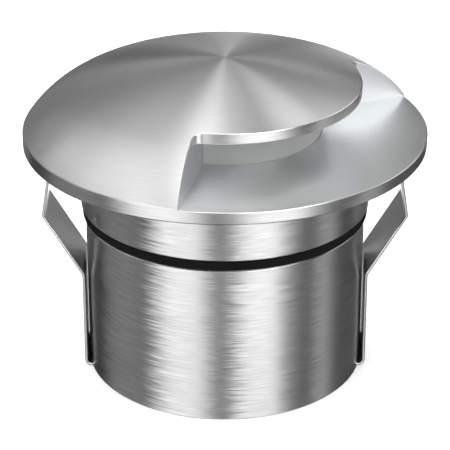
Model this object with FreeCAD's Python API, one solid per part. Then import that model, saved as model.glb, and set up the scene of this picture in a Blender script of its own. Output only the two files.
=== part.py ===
"""Recessed ground light with a one-way domed face: every piece is one STEP file in parts/.

Millimetres and degrees. +Z is up, and the origin is the middle of the body's lower edge. The two
spring clips lie on the X axis, and the pocket that lets the light out faces +X and -Y.
"""

import FreeCAD
import Part
import math
import os

# Face: dome, rim, pocket and eyelid
FLANGE_RADIUS = 30.0
RIM_THICKNESS = 2.14
RIM_CHAMFER = 0.2
RIM_LAND = 2.4
RIM_RELIEF = 0.3
DOME_HEIGHT = 10.63
CROWN_RADIUS = 60.0
CROWN_MARGIN = 1.8
POCKET_START = -102.5
POCKET_END = 23.2
POCKET_DROP = 0.18
POCKET_CORNER = 1.5
LID_OVERHANG = 5.2
LID_THICKNESS = 1.6

# Window under the eyelid, its flange and its seal
WINDOW_RADIUS = 15.0
WINDOW_WALL = 2.0
WINDOW_HEADROOM = 0.1
WINDOW_FLANGE_WIDTH = 2.6
WINDOW_FLANGE_THICKNESS = 1.3
WINDOW_SEAL_THICKNESS = 0.6
DEFLECTOR_EDGE = 1.2
DEFLECTOR_SLANT = 20.0

# Neck: the boss under the face and the collar screwed on it
BOSS_WALL = 3.1
BOSS_DEPTH = 3.5
COLLAR_WALL = 3.08
COLLAR_CHAMFER = 0.2
LEDGE_THICKNESS = 1.2
LEDGE_RELIEF = 0.6
THREAD_WALL = 2.03
THREAD_DEPTH = 3.2
THREAD_CLEARANCE = 0.05

# Ring seal between neck and body
SEAL_THICKNESS = 1.63
SEAL_WIDTH = 1.9
SEAL_ROUND = 0.6

# Body
NECK_STEP = 0.28
BODY_WALL = 1.65
BODY_TOP_CHAMFER = 0.3
BODY_FOOT_CHAMFER = 0.2
SPIGOT_WALL = 1.65
SPIGOT_GAP = 0.3
SHOULDER_THICKNESS = 3.36

# Light source and its carrier
CARRIER_FLANGE_THICKNESS = 2.6
CARRIER_TOP_THICKNESS = 2.8
CARRIER_RING_WIDTH = 2.05
CARRIER_RING_THICKNESS = 0.8
CARRIER_RING_BITE = 0.55
CARRIER_RING_OPENING = 24.0
PAD_THICKNESS = 0.3
PAD_MARGIN = 0.5
BOARD_THICKNESS = 1.2
CHIP_COUNT = 4
CHIP_SIZE = 3.0
CHIP_THICKNESS = 0.5
CHIP_LENS_RADIUS = 1.15
CHIP_CIRCLE = 3.4
CUP_WALL = 0.8
CUP_MARGIN = 0.8
CUP_ROOM = 0.7
CUP_HEADROOM = 0.49
BOARD_SCREW_INSET = 2.0
BOARD_SCREW_LENGTH = 3.8
LEAD_RADIUS = 0.45
LEAD_SPACING = 1.3
LEAD_INSET = 0.7
LEAD_LOOP = 0.7

# Driver: its parts hang under the board, round the gland and clear of the bosses
DRIVER_BOARD_THICKNESS = 1.2
DRIVER_BOARD_MARGIN = 3.6
POST_LENGTH = 3.0
POST_RADIUS = 1.75
POST_INSET = 3.3
POST_ANGLE = 135.0
DRIVER_SCREW_BITE = 1.6
PARTS_GAP = 0.3
PARTS_HEADROOM = 0.2
CAPACITOR_RADIUS = 3.0
CAPACITOR_HEIGHT = 4.4
CAPACITOR_GROOVE_DEPTH = 0.3
CAPACITOR_GROOVE_INSET = 1.1
COIL_RADIUS = 3.2
COIL_HEIGHT = 3.0
COIL_WAIST = 2.1
COIL_FLANGE = 0.6
RECTIFIER_LENGTH = 5.0
RECTIFIER_WIDTH = 4.0
RECTIFIER_HEIGHT = 1.8
TERMINAL_LENGTH = 8.0
TERMINAL_WIDTH = 5.6
TERMINAL_HEIGHT = 4.4
TERMINAL_PITCH = 4.0
TERMINAL_HOLE = 1.3
TERMINAL_WIRE_HOLE = 0.65
TERMINAL_WIRE_DEPTH = 1.5

# Base cover, its bosses in the body, and its seal
COVER_THICKNESS = 2.5
COVER_BOSS_COUNT = 3
COVER_BOSS_RADIUS = 2.2
COVER_BOSS_INSET = 3.4
COVER_BOSS_HEIGHT = 4.0
COVER_SCREW_BITE = 3.2
COVER_SEAL_RADIUS = 0.5

# Cable gland in the base cover
GLAND_STEM_RADIUS = 5.0
GLAND_HEX = 14.0
GLAND_HEX_THICKNESS = 1.8
GLAND_STEM_ABOVE = 2.7
GLAND_STEM_GAP = 0.5
GLAND_BORE = 3.2
GLAND_SEAT_WALL = 0.8
GLAND_NUT_HEX = 13.0
GLAND_NUT_HEIGHT = 4.0
GLAND_NUT_FLOOR = 1.1
GLAND_NUT_GAP = 0.4
GLAND_NUT_CLEARANCE = 0.8
GLAND_LOCKNUT_HEIGHT = 2.0
CABLE_HOLE_RADIUS = 2.8

# Spring clips
CLIP_WIDTH = 10.0
CLIP_THICKNESS = 0.4
CLIP_REST_HEIGHT = 15.75
CLIP_KNEE_HEIGHT = 25.6
CLIP_KNEE_REACH = 5.9
CLIP_TIP_REACH = 4.4
CLIP_TIP_GAP = 1.7
CLIP_KNEE_BEND = 0.9
CLIP_REST_BEND = 2.0
CLIP_FOOT_BEND = 0.8
CLIP_ARM_MARGIN = 0.2
CLIP_FOOT_LIFT = 0.05
CLIP_HOOK_GAP = 0.8
CLIP_NOTCH_ROOM = 0.15
CLIP_TIP_ROUND = 1.5

# Small screws, shared by board, driver and base cover
SCREW_RADIUS = 1.0
SCREW_HEAD_RADIUS = 1.8
SCREW_HEAD_HEIGHT = 1.0

# Clearances
LIGHT_FIT = 0.02
SLIP_FIT = 0.05
LOOSE_FIT = 0.1

# How far a cutting shape runs past the face that it opens
CUT_PAST = 1.0
# Largest difference at which two computed sizes are the same
SAME = 1e-6

# Radii worked out from the sizes above
bore_in_face = WINDOW_RADIUS + LOOSE_FIT
boss_radius = bore_in_face + BOSS_WALL
collar_bore = boss_radius + SLIP_FIT
neck_radius = collar_bore + COLLAR_WALL
thread_radius = neck_radius - THREAD_WALL
spigot_radius = thread_radius - THREAD_CLEARANCE
spigot_bore = spigot_radius - SPIGOT_WALL
body_radius = neck_radius - NECK_STEP
body_bore = body_radius - BODY_WALL
lid_radius = WINDOW_RADIUS + LID_OVERHANG
crown_reach = lid_radius + CROWN_MARGIN
land_radius = FLANGE_RADIUS - RIM_LAND
window_bore = WINDOW_RADIUS - WINDOW_WALL
cup_mouth = window_bore - CUP_MARGIN
cup_throat = CHIP_CIRCLE + CHIP_SIZE / math.sqrt(2) + CUP_ROOM
board_radius = cup_mouth + CUP_WALL
driver_board_radius = body_bore - DRIVER_BOARD_MARGIN
carrier_flange_radius = body_bore - LOOSE_FIT
carrier_ring_groove = body_bore + CARRIER_RING_BITE + SLIP_FIT
cover_screw_circle = body_bore - COVER_BOSS_INSET
board_screw_circle = board_radius - BOARD_SCREW_INSET
post_circle = driver_board_radius - POST_INSET
lead_circle = board_radius - LEAD_INSET
gland_reach = GLAND_HEX / math.sqrt(3)

# Heights worked out from the sizes above, from the base up
gland_stem_low = GLAND_NUT_CLEARANCE + GLAND_NUT_FLOOR + GLAND_STEM_GAP
gland_hex_low = GLAND_NUT_CLEARANCE + GLAND_NUT_HEIGHT + GLAND_NUT_GAP
cover_low = gland_hex_low + GLAND_HEX_THICKNESS
cover_top = cover_low + COVER_THICKNESS
tallest = max(CAPACITOR_HEIGHT, TERMINAL_HEIGHT, COVER_BOSS_HEIGHT + SCREW_HEAD_HEIGHT)
driver_board_low = cover_top + tallest + PARTS_HEADROOM
driver_board_top = driver_board_low + DRIVER_BOARD_THICKNESS
carrier_low = driver_board_top + POST_LENGTH
shoulder_low = carrier_low + CARRIER_FLANGE_THICKNESS
body_top = shoulder_low + SHOULDER_THICKNESS
neck_low = body_top + SEAL_THICKNESS
ledge_low = neck_low + THREAD_DEPTH
ledge_top = ledge_low + LEDGE_THICKNESS
window_flange_top = ledge_top + WINDOW_FLANGE_THICKNESS
boss_low = window_flange_top + WINDOW_SEAL_THICKNESS
rim_low = boss_low + BOSS_DEPTH
collar_top = rim_low + RIM_RELIEF
rim_top = rim_low + RIM_THICKNESS
apex = rim_top + DOME_HEIGHT
pocket_floor = rim_top - POCKET_DROP
lid_top = apex - CROWN_RADIUS + math.sqrt(CROWN_RADIUS ** 2 - lid_radius ** 2)
lid_low = lid_top - LID_THICKNESS
window_top = lid_low - WINDOW_HEADROOM
carrier_top = shoulder_low + CARRIER_TOP_THICKNESS
board_low = carrier_top + PAD_THICKNESS
board_top = board_low + BOARD_THICKNESS
cup_top = ledge_top - CUP_HEADROOM
clip_hook_top = cover_low - CLIP_HOOK_GAP
clip_tip_height = rim_low - CLIP_TIP_GAP

UP = FreeCAD.Vector(0, 0, 1)
SIDES = {"left": 180.0, "right": 0.0}


def turned(outline, start=0.0, sweep=360.0):
    """Solid turned about the Z axis from a closed outline of (radius, height) points."""
    corners = [FreeCAD.Vector(radius, 0, height) for radius, height in outline]
    face = Part.Face(Part.makePolygon(corners + corners[:1]))
    face.rotate(FreeCAD.Vector(), UP, start)
    return face.revolve(FreeCAD.Vector(), UP, sweep)


def disc(radius, low, top, x=0.0, y=0.0):
    """Upright cylinder between two heights."""
    return Part.makeCylinder(radius, top - low, FreeCAD.Vector(x, y, low), UP)


def ring(outer, inner, low, top):
    """Upright tube between two heights."""
    return turned([(inner, low), (outer, low), (outer, top), (inner, top)])


def block(length, width, low, top, x=0.0, y=0.0):
    """Upright box centred on a point."""
    corner = FreeCAD.Vector(x - length / 2, y - width / 2, low)
    return Part.makeBox(length, width, top - low, corner)


def hex_prism(across_flats, low, top):
    """Upright hexagon between two heights, its corners turned off like a nut's."""
    corner_radius = across_flats / math.sqrt(3)
    turns = [math.radians(60 * step) for step in range(6)]
    points = [FreeCAD.Vector(corner_radius * math.cos(turn), corner_radius * math.sin(turn), low)
              for turn in turns]
    prism = Part.Face(Part.makePolygon(points + points[:1])).extrude(UP * (top - low))
    corner_depth = corner_radius - across_flats / 2
    blank = turned([
        (0, low),
        (across_flats / 2, low),
        (corner_radius, low + corner_depth / 2),
        (corner_radius, top - corner_depth / 2),
        (across_flats / 2, top),
        (0, top),
    ])
    return prism.common(blank)


def around(circle, angle):
    """Point on a circle about the Z axis."""
    return circle * math.cos(math.radians(angle)), circle * math.sin(math.radians(angle))


def joined(shapes):
    """One solid from shapes that overlap or touch."""
    return shapes[0].fuse(shapes[1:]).removeSplitter()


def crown_and_shoulder():
    """The dome's outline: a flat crown arc that runs smoothly into a tight shoulder arc."""
    crown_centre = FreeCAD.Vector(0, 0, apex - CROWN_RADIUS)
    tilt = math.asin(crown_reach / CROWN_RADIUS)
    outward = FreeCAD.Vector(math.sin(tilt), 0, math.cos(tilt))
    halfway = FreeCAD.Vector(math.sin(tilt / 2), 0, math.cos(tilt / 2))
    meeting = crown_centre + outward * CROWN_RADIUS
    edge = FreeCAD.Vector(FLANGE_RADIUS, 0, rim_top)
    chord = edge - meeting
    shoulder_radius = -chord.dot(chord) / (2 * chord.dot(outward))
    shoulder_centre = meeting - outward * shoulder_radius
    middle = (meeting + edge) * 0.5 - shoulder_centre
    bulge = shoulder_centre + middle * (shoulder_radius / middle.Length)
    top = FreeCAD.Vector(0, 0, apex)
    crown = Part.Arc(top, crown_centre + halfway * CROWN_RADIUS, meeting)
    shoulder = Part.Arc(meeting, bulge, edge)
    return [crown.toShape(), shoulder.toShape()]


def domed_blank():
    """The turned face before milling: dome, rim hollowed below, and the threaded boss."""
    points = [
        (FLANGE_RADIUS, rim_top),
        (FLANGE_RADIUS, rim_low + RIM_CHAMFER),
        (FLANGE_RADIUS - RIM_CHAMFER, rim_low),
        (land_radius, rim_low),
        (land_radius, collar_top),
        (boss_radius, collar_top),
        (boss_radius, boss_low),
        (0, boss_low),
        (0, apex),
    ]
    corners = [FreeCAD.Vector(radius, 0, height) for radius, height in points]
    outline = crown_and_shoulder() + Part.makePolygon(corners).Edges
    face = Part.Face(Part.Wire(outline))
    return face.revolve(FreeCAD.Vector(), UP, 360)


def pocket_under_lid():
    """Milled space from the window out to the rim, up to the underside of the eyelid."""
    outside = FLANGE_RADIUS + CUT_PAST
    outline = [
        (0, pocket_floor),
        (FLANGE_RADIUS - RIM_CHAMFER, pocket_floor),
        (outside, pocket_floor - RIM_CHAMFER - CUT_PAST),
        (outside, lid_low),
        (0, lid_low),
    ]
    return turned(outline, POCKET_START, POCKET_END - POCKET_START)


def pocket_round_lid():
    """Milled space outside the eyelid, open at the top, with a cutter's round in its corners."""
    outside = FLANGE_RADIUS + CUT_PAST
    outline = [
        (lid_radius, pocket_floor),
        (outside, pocket_floor),
        (outside, apex),
        (lid_radius, apex),
    ]
    space = turned(outline, POCKET_START, POCKET_END - POCKET_START)
    corners = [edge for edge in space.Edges if is_upright(edge) and lies_at(edge, lid_radius)]
    return space.makeFillet(POCKET_CORNER, corners)


def is_upright(edge):
    """True for an edge parallel to the Z axis."""
    ends = [vertex.Point for vertex in edge.Vertexes]
    return len(ends) == 2 and (ends[1] - ends[0]).cross(UP).Length < SAME


def lies_at(edge, radius):
    """True for an edge that starts at this distance from the Z axis."""
    point = edge.Vertexes[0].Point
    return abs(math.hypot(point.x, point.y) - radius) < SAME


def face_cap():
    """Domed face with its one-way pocket, eyelid and bore for the window."""
    bore = disc(bore_in_face, boss_low - CUT_PAST, lid_low)
    return domed_blank().cut([bore, pocket_under_lid(), pocket_round_lid()])


def light_window():
    """Frosted cup that stands up through the face and fills the pocket's inner side."""
    flange_radius = WINDOW_RADIUS + WINDOW_FLANGE_WIDTH
    return turned([
        (window_bore, ledge_top),
        (flange_radius, ledge_top),
        (flange_radius, window_flange_top),
        (WINDOW_RADIUS, window_flange_top),
        (WINDOW_RADIUS, window_top),
        (0, window_top),
        (0, window_top - WINDOW_WALL),
        (window_bore, window_top - WINDOW_WALL),
    ])


def window_seal():
    """Flat gasket between the window's flange and the boss."""
    outer = WINDOW_RADIUS + WINDOW_FLANGE_WIDTH
    return ring(outer, bore_in_face, window_flange_top, boss_low)


def deflector():
    """Wedge in the top of the window: its slanted face turns the light towards the pocket."""
    radius = window_bore - SLIP_FIT
    top = window_top - WINDOW_WALL
    slope_length = 2 * radius - DEFLECTOR_EDGE
    low = top - slope_length * math.tan(math.radians(DEFLECTOR_SLANT))
    facing = (POCKET_START + POCKET_END) / 2
    below_slope = block(4 * radius, 4 * radius, -4 * radius, 0)
    below_slope.rotate(FreeCAD.Vector(), FreeCAD.Vector(0, 1, 0), -DEFLECTOR_SLANT)
    below_slope.translate(FreeCAD.Vector(radius - DEFLECTOR_EDGE, 0, top))
    below_slope.rotate(FreeCAD.Vector(), UP, facing)
    return disc(radius, low, top).cut(below_slope)


def neck_collar():
    """Smooth ring screwed on the face's boss: its ledge holds the window, its thread the body."""
    return turned([
        (thread_radius, neck_low),
        (neck_radius - COLLAR_CHAMFER, neck_low),
        (neck_radius, neck_low + COLLAR_CHAMFER),
        (neck_radius, collar_top - COLLAR_CHAMFER),
        (neck_radius - COLLAR_CHAMFER, collar_top),
        (collar_bore, collar_top),
        (collar_bore, ledge_top),
        (WINDOW_RADIUS + LEDGE_RELIEF, ledge_top),
        (WINDOW_RADIUS + LEDGE_RELIEF, ledge_low),
        (thread_radius, ledge_low),
    ])


def neck_seal():
    """Rubber ring on the spigot, squeezed between neck and body."""
    inner = spigot_radius + SLIP_FIT
    seal = ring(inner + SEAL_WIDTH, inner, body_top, neck_low)
    rounded = [edge for edge in seal.Edges if lies_at(edge, inner + SEAL_WIDTH) and edge.Closed]
    return seal.makeFillet(SEAL_ROUND, rounded)


def body_shell():
    """The turned tube with its spigot for the collar and its shoulder for the carrier."""
    return turned([
        (body_bore, 0),
        (body_radius - BODY_FOOT_CHAMFER, 0),
        (body_radius, BODY_FOOT_CHAMFER),
        (body_radius, body_top - BODY_TOP_CHAMFER),
        (body_radius - BODY_TOP_CHAMFER, body_top),
        (spigot_radius, body_top),
        (spigot_radius, ledge_low - SPIGOT_GAP),
        (spigot_bore, ledge_low - SPIGOT_GAP),
        (spigot_bore, shoulder_low),
        (body_bore, shoulder_low),
        (body_bore, carrier_low),
        (carrier_ring_groove, carrier_low),
        (carrier_ring_groove, carrier_low - CARRIER_RING_THICKNESS - SLIP_FIT),
        (body_bore, carrier_low - CARRIER_RING_THICKNESS - SLIP_FIT),
    ])


def cover_screw_angles():
    """Directions of the base cover's screws, clear of the two clips."""
    return [90.0 + step * 360.0 / COVER_BOSS_COUNT for step in range(COVER_BOSS_COUNT)]


def cover_boss(angle):
    """Boss on the body's inner wall that takes one screw of the base cover."""
    x, y = around(cover_screw_circle, angle)
    top = cover_top + COVER_BOSS_HEIGHT
    pillar = disc(COVER_BOSS_RADIUS, cover_top, top, x, y)
    reach = body_bore - cover_screw_circle + BODY_WALL / 2
    web = Part.makeBox(reach, 2 * COVER_BOSS_RADIUS, COVER_BOSS_HEIGHT,
                       FreeCAD.Vector(cover_screw_circle, -COVER_BOSS_RADIUS, cover_top))
    web.rotate(FreeCAD.Vector(), UP, angle)
    hole = disc(SCREW_RADIUS + LIGHT_FIT, cover_top, cover_top + COVER_SCREW_BITE + LOOSE_FIT, x, y)
    return pillar.fuse(web).cut(hole)


def clip_notch(turn):
    """Notch in the body's lower edge that the foot of a clip passes through."""
    width = CLIP_WIDTH + 2 * CLIP_NOTCH_ROOM
    height = CLIP_FOOT_LIFT + CLIP_THICKNESS / 2 + CLIP_FOOT_BEND + CLIP_NOTCH_ROOM
    inner = body_bore - BODY_WALL
    notch = Part.makeBox(body_radius + CUT_PAST - inner, width, height + CUT_PAST,
                         FreeCAD.Vector(inner, -width / 2, -CUT_PAST))
    notch.rotate(FreeCAD.Vector(), UP, turn)
    return notch


def body_tube():
    """Round body with bosses for the base cover and notches for the clips."""
    bosses = [cover_boss(angle) for angle in cover_screw_angles()]
    notches = [clip_notch(turn) for turn in SIDES.values()]
    return joined([body_shell()] + bosses).cut(notches)


def led_carrier():
    """Stepped aluminium carrier, bored for the leads and for its screws."""
    flange = disc(carrier_flange_radius, carrier_low, shoulder_low)
    top = disc(spigot_bore - LOOSE_FIT, carrier_low, carrier_top)
    lead_hole = disc(LEAD_SPACING + LEAD_RADIUS + LOOSE_FIT, carrier_low, carrier_top,
                     0, lead_circle)
    holes = [lead_hole]
    for x, y in board_screw_places():
        holes.append(disc(SCREW_RADIUS + LIGHT_FIT, board_top - BOARD_SCREW_LENGTH - LOOSE_FIT,
                          carrier_top, x, y))
    for x, y in post_places():
        holes.append(disc(SCREW_RADIUS + LIGHT_FIT, carrier_low,
                          carrier_low + DRIVER_SCREW_BITE + LOOSE_FIT, x, y))
    return joined([flange, top]).cut(holes)


def carrier_ring():
    """Open spring ring, with plier holes in its two ends."""
    outer = body_bore + CARRIER_RING_BITE
    inner = outer - CARRIER_RING_WIDTH
    low = carrier_low - CARRIER_RING_THICKNESS
    outline = [(inner, low), (outer, low), (outer, carrier_low), (inner, carrier_low)]
    start = 270.0 + CARRIER_RING_OPENING / 2
    opened = turned(outline, start, 360.0 - CARRIER_RING_OPENING)
    middle = (outer + inner) / 2
    ear = math.degrees(CARRIER_RING_WIDTH / middle)
    holes = []
    for angle in (start + ear, start - CARRIER_RING_OPENING - ear):
        x, y = around(middle, angle)
        holes.append(disc(CARRIER_RING_WIDTH / 4, low, carrier_low, x, y))
    return opened.cut(holes)


def board_screw_places():
    """Middles of the two screws that hold the board down."""
    return [around(board_screw_circle, angle) for angle in (45.0, 225.0)]


def post_places():
    """Middles of the two posts that carry the driver board."""
    return [around(post_circle, angle) for angle in (POST_ANGLE, POST_ANGLE + 180.0)]


def lead_notch(low, top):
    """Space for the two leads in the edge of a board."""
    width = 2 * (LEAD_SPACING / 2 + LEAD_RADIUS + LOOSE_FIT)
    depth = LEAD_INSET + LEAD_RADIUS + LOOSE_FIT
    return block(width, 2 * depth, low, top, 0, board_radius)


def light_disc(radius, low, top):
    """Round plate under the light sources, open for its screws and the leads."""
    holes = [disc(SCREW_RADIUS + LOOSE_FIT, low, top, x, y) for x, y in board_screw_places()]
    return disc(radius, low, top).cut(holes + [lead_notch(low, top)])


def thermal_pad():
    """Thin pad between board and carrier."""
    return light_disc(board_radius - PAD_MARGIN, carrier_top, board_low)


def led_board():
    """Metal-core board."""
    return light_disc(board_radius, board_low, board_top)


def led_chips():
    """Square light sources with round lenses, evenly spaced on a circle."""
    chips = []
    for step in range(CHIP_COUNT):
        x, y = around(CHIP_CIRCLE, 45.0 + step * 360.0 / CHIP_COUNT)
        base = block(CHIP_SIZE, CHIP_SIZE, board_top, board_top + CHIP_THICKNESS, x, y)
        middle = FreeCAD.Vector(x, y, board_top + CHIP_THICKNESS)
        lens = Part.makeSphere(CHIP_LENS_RADIUS, middle, UP, 0, 90, 360)
        chips.append(base.fuse(lens).removeSplitter())
    return Part.makeCompound(chips)


def reflector_cup():
    """Flared cup that stands on the board round the light sources."""
    return turned([
        (cup_throat, board_top),
        (cup_throat + CUP_WALL, board_top),
        (cup_mouth + CUP_WALL, cup_top),
        (cup_mouth, cup_top),
    ])


def pan_screw(seat, tip, x, y):
    """Screw with a rounded head, from the face it bears on to its tip."""
    away = 1 if seat > tip else -1
    head_top = seat + away * SCREW_HEAD_HEIGHT
    crown = head_top - away * SCREW_HEAD_HEIGHT / 2
    screw = turned([
        (0, tip),
        (SCREW_RADIUS, tip),
        (SCREW_RADIUS, seat),
        (SCREW_HEAD_RADIUS, seat),
        (SCREW_HEAD_RADIUS, crown),
        (SCREW_RADIUS, head_top),
        (0, head_top),
    ])
    screw.translate(FreeCAD.Vector(x, y, 0))
    return screw


def board_screws():
    """Two screws through board and pad."""
    tip = board_top - BOARD_SCREW_LENGTH
    return Part.makeCompound([pan_screw(board_top, tip, x, y) for x, y in board_screw_places()])


def led_leads():
    """Two leads that rise from the driver board and bend over onto the light board."""
    leads = []
    for x in (-LEAD_SPACING / 2, LEAD_SPACING / 2):
        turn_height = board_top + LEAD_LOOP
        foot = FreeCAD.Vector(x, lead_circle, driver_board_top)
        bend = FreeCAD.Vector(x, lead_circle, turn_height)
        crest = FreeCAD.Vector(x, lead_circle - LEAD_LOOP, turn_height + LEAD_LOOP)
        landing = FreeCAD.Vector(x, lead_circle - 2 * LEAD_LOOP, turn_height)
        end = FreeCAD.Vector(x, lead_circle - 2 * LEAD_LOOP, board_top)
        path = Part.Wire([
            Part.LineSegment(foot, bend).toShape(),
            Part.Arc(bend, crest, landing).toShape(),
            Part.LineSegment(landing, end).toShape(),
        ])
        section = Part.Wire(Part.Circle(foot, UP, LEAD_RADIUS).toShape())
        leads.append(path.makePipeShell([section], True, False))
    return Part.makeCompound(leads)


def driver_board():
    """Round board that carries the driver."""
    holes = [disc(SCREW_RADIUS + LOOSE_FIT, driver_board_low, driver_board_top, x, y)
             for x, y in post_places()]
    return disc(driver_board_radius, driver_board_low, driver_board_top).cut(holes)


def driver_posts():
    """Two spacers between driver board and carrier."""
    posts = []
    for x, y in post_places():
        post = disc(POST_RADIUS, driver_board_top, carrier_low, x, y)
        posts.append(post.cut(disc(SCREW_RADIUS + LOOSE_FIT, driver_board_top, carrier_low, x, y)))
    return Part.makeCompound(posts)


def driver_screws():
    """Two screws that hold the driver board up against its posts."""
    tip = carrier_low + DRIVER_SCREW_BITE
    return Part.makeCompound([pan_screw(driver_board_low, tip, x, y) for x, y in post_places()])


def beside_gland(width):
    """Distance from the Z axis at which a part of this width stands clear of the gland."""
    return gland_reach + PARTS_GAP + width / 2


def driver_capacitor():
    """Upright can under the driver board, with the groove near its foot."""
    narrow = CAPACITOR_RADIUS - CAPACITOR_GROOVE_DEPTH
    low = driver_board_low - CAPACITOR_HEIGHT
    groove = driver_board_low - CAPACITOR_GROOVE_INSET
    can = turned([
        (0, low),
        (narrow, low),
        (CAPACITOR_RADIUS, low + CAPACITOR_GROOVE_DEPTH),
        (CAPACITOR_RADIUS, groove - CAPACITOR_GROOVE_DEPTH),
        (narrow, groove),
        (CAPACITOR_RADIUS, groove + CAPACITOR_GROOVE_DEPTH),
        (CAPACITOR_RADIUS, driver_board_low),
        (0, driver_board_low),
    ])
    can.translate(FreeCAD.Vector(-beside_gland(2 * CAPACITOR_RADIUS), 0, 0))
    return can


def driver_coil():
    """Drum coil under the driver board."""
    low = driver_board_low - COIL_HEIGHT
    drum = turned([
        (0, low),
        (COIL_RADIUS, low),
        (COIL_RADIUS, low + COIL_FLANGE),
        (COIL_WAIST, low + COIL_FLANGE),
        (COIL_WAIST, driver_board_low - COIL_FLANGE),
        (COIL_RADIUS, driver_board_low - COIL_FLANGE),
        (COIL_RADIUS, driver_board_low),
        (0, driver_board_low),
    ])
    drum.translate(FreeCAD.Vector(beside_gland(2 * COIL_RADIUS), 0, 0))
    return drum


def driver_rectifier():
    """Flat package under the driver board."""
    low = driver_board_low - RECTIFIER_HEIGHT
    return block(RECTIFIER_LENGTH, RECTIFIER_WIDTH, low, driver_board_low,
                 0, beside_gland(RECTIFIER_WIDTH))


def terminal_block():
    """Two-pole terminal with screw wells below and wire holes towards the gland."""
    low = driver_board_low - TERMINAL_HEIGHT
    y = -beside_gland(TERMINAL_WIDTH)
    housing = block(TERMINAL_LENGTH, TERMINAL_WIDTH, low, driver_board_low, 0, y)
    wells = []
    for x in (-TERMINAL_PITCH / 2, TERMINAL_PITCH / 2):
        wells.append(disc(TERMINAL_HOLE, low, low + TERMINAL_HEIGHT / 2, x, y))
        mouth = FreeCAD.Vector(x, y, driver_board_low - TERMINAL_WIRE_DEPTH)
        wells.append(Part.makeCylinder(TERMINAL_WIRE_HOLE, TERMINAL_WIDTH, mouth,
                                       FreeCAD.Vector(0, 1, 0)))
    return housing.cut(wells)


def cover_screw_places():
    """Middles of the base cover's screws."""
    return [around(cover_screw_circle, angle) for angle in cover_screw_angles()]


def flush_head(x, y, room):
    """Outline of a countersunk screw's head in the cover's lower face, with room round it."""
    head = turned([
        (0, cover_low),
        (SCREW_HEAD_RADIUS + room, cover_low),
        (SCREW_RADIUS + room, cover_low + SCREW_HEAD_HEIGHT),
        (SCREW_RADIUS + room, cover_top),
        (0, cover_top),
    ])
    head.translate(FreeCAD.Vector(x, y, 0))
    return head


def base_cover():
    """Round rear cover with a seal groove, the gland's hole and countersunk screw holes."""
    edge = body_bore - LOOSE_FIT
    groove = body_bore - 2 * COVER_SEAL_RADIUS
    middle = (cover_low + cover_top) / 2
    plate = turned([
        (GLAND_STEM_RADIUS + SLIP_FIT, cover_low),
        (edge, cover_low),
        (edge, middle - COVER_SEAL_RADIUS - SLIP_FIT),
        (groove, middle - COVER_SEAL_RADIUS - SLIP_FIT),
        (groove, middle + COVER_SEAL_RADIUS + SLIP_FIT),
        (edge, middle + COVER_SEAL_RADIUS + SLIP_FIT),
        (edge, cover_top),
        (GLAND_STEM_RADIUS + SLIP_FIT, cover_top),
    ])
    return plate.cut([flush_head(x, y, LIGHT_FIT) for x, y in cover_screw_places()])


def base_seal():
    """Ring seal in the base cover's groove."""
    middle = FreeCAD.Vector(0, 0, (cover_low + cover_top) / 2)
    return Part.makeTorus(body_bore - COVER_SEAL_RADIUS, COVER_SEAL_RADIUS, middle, UP)


def base_screws():
    """Countersunk screws that hold the base cover."""
    screws = []
    for x, y in cover_screw_places():
        shank = disc(SCREW_RADIUS, cover_low, cover_top + COVER_SCREW_BITE, x, y)
        screws.append(joined([flush_head(x, y, 0), shank]))
    return Part.makeCompound(screws)


def gland_body():
    """Threaded stem with a hexagon that bears on the base cover from below."""
    top = cover_top + GLAND_STEM_ABOVE
    stem = disc(GLAND_STEM_RADIUS, gland_stem_low, top)
    bore = disc(GLAND_BORE, gland_stem_low, top)
    seat = disc(GLAND_STEM_RADIUS - GLAND_SEAT_WALL, gland_stem_low, cover_low)
    return joined([stem, hex_prism(GLAND_HEX, gland_hex_low, cover_low)]).cut([bore, seat])


def gland_grommet():
    """Rubber sleeve in the gland that closes on the cable."""
    radius = GLAND_STEM_RADIUS - GLAND_SEAT_WALL - SLIP_FIT
    low = GLAND_NUT_CLEARANCE + GLAND_NUT_FLOOR
    return ring(radius, CABLE_HOLE_RADIUS, low, cover_low)


def gland_nut():
    """Cap nut that squeezes the grommet."""
    low = GLAND_NUT_CLEARANCE
    top = low + GLAND_NUT_HEIGHT
    thread = disc(GLAND_STEM_RADIUS + SLIP_FIT, low + GLAND_NUT_FLOOR, top)
    mouth = disc(GLAND_BORE, low, top)
    return hex_prism(GLAND_NUT_HEX, low, top).cut([thread, mouth])


def gland_locknut():
    """Flat nut that holds the gland from inside."""
    nut = hex_prism(GLAND_HEX, cover_top, cover_top + GLAND_LOCKNUT_HEIGHT)
    return nut.cut(disc(GLAND_STEM_RADIUS + SLIP_FIT, cover_top, cover_top + GLAND_LOCKNUT_HEIGHT))


def offset_side(path, bends, shift):
    """One face of a bent strip, as edges: its middle line moved sideways, with round bends."""
    edges = []
    start = path[0] + left_of(path[1] - path[0]) * shift
    for corner in range(1, len(path) - 1):
        before = (path[corner] - path[corner - 1]).normalize()
        after = (path[corner + 1] - path[corner]).normalize()
        turn = math.atan2(before.cross(after).dot(FreeCAD.Vector(0, -1, 0)), before.dot(after))
        bend = bends[corner - 1]
        side = math.copysign(1, turn)
        tangent = bend * math.tan(abs(turn) / 2)
        first = path[corner] - before * tangent
        last = path[corner] + after * tangent
        centre = first + left_of(before) * (bend * side)
        outward = (path[corner] - centre).normalize()
        arc_start = first + left_of(before) * shift
        arc_end = last + left_of(after) * shift
        arc_middle = centre + outward * (bend - side * shift)
        edges.append(Part.LineSegment(start, arc_start).toShape())
        edges.append(Part.Arc(arc_start, arc_middle, arc_end).toShape())
        start = arc_end
    edges.append(Part.LineSegment(start, path[-1] + left_of(path[-1] - path[-2]) * shift).toShape())
    return edges


def left_of(direction):
    """Unit vector in the XZ plane, square to a direction and to its left seen along +Y."""
    return FreeCAD.Vector(-direction.z, 0, direction.x).normalize()


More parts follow.
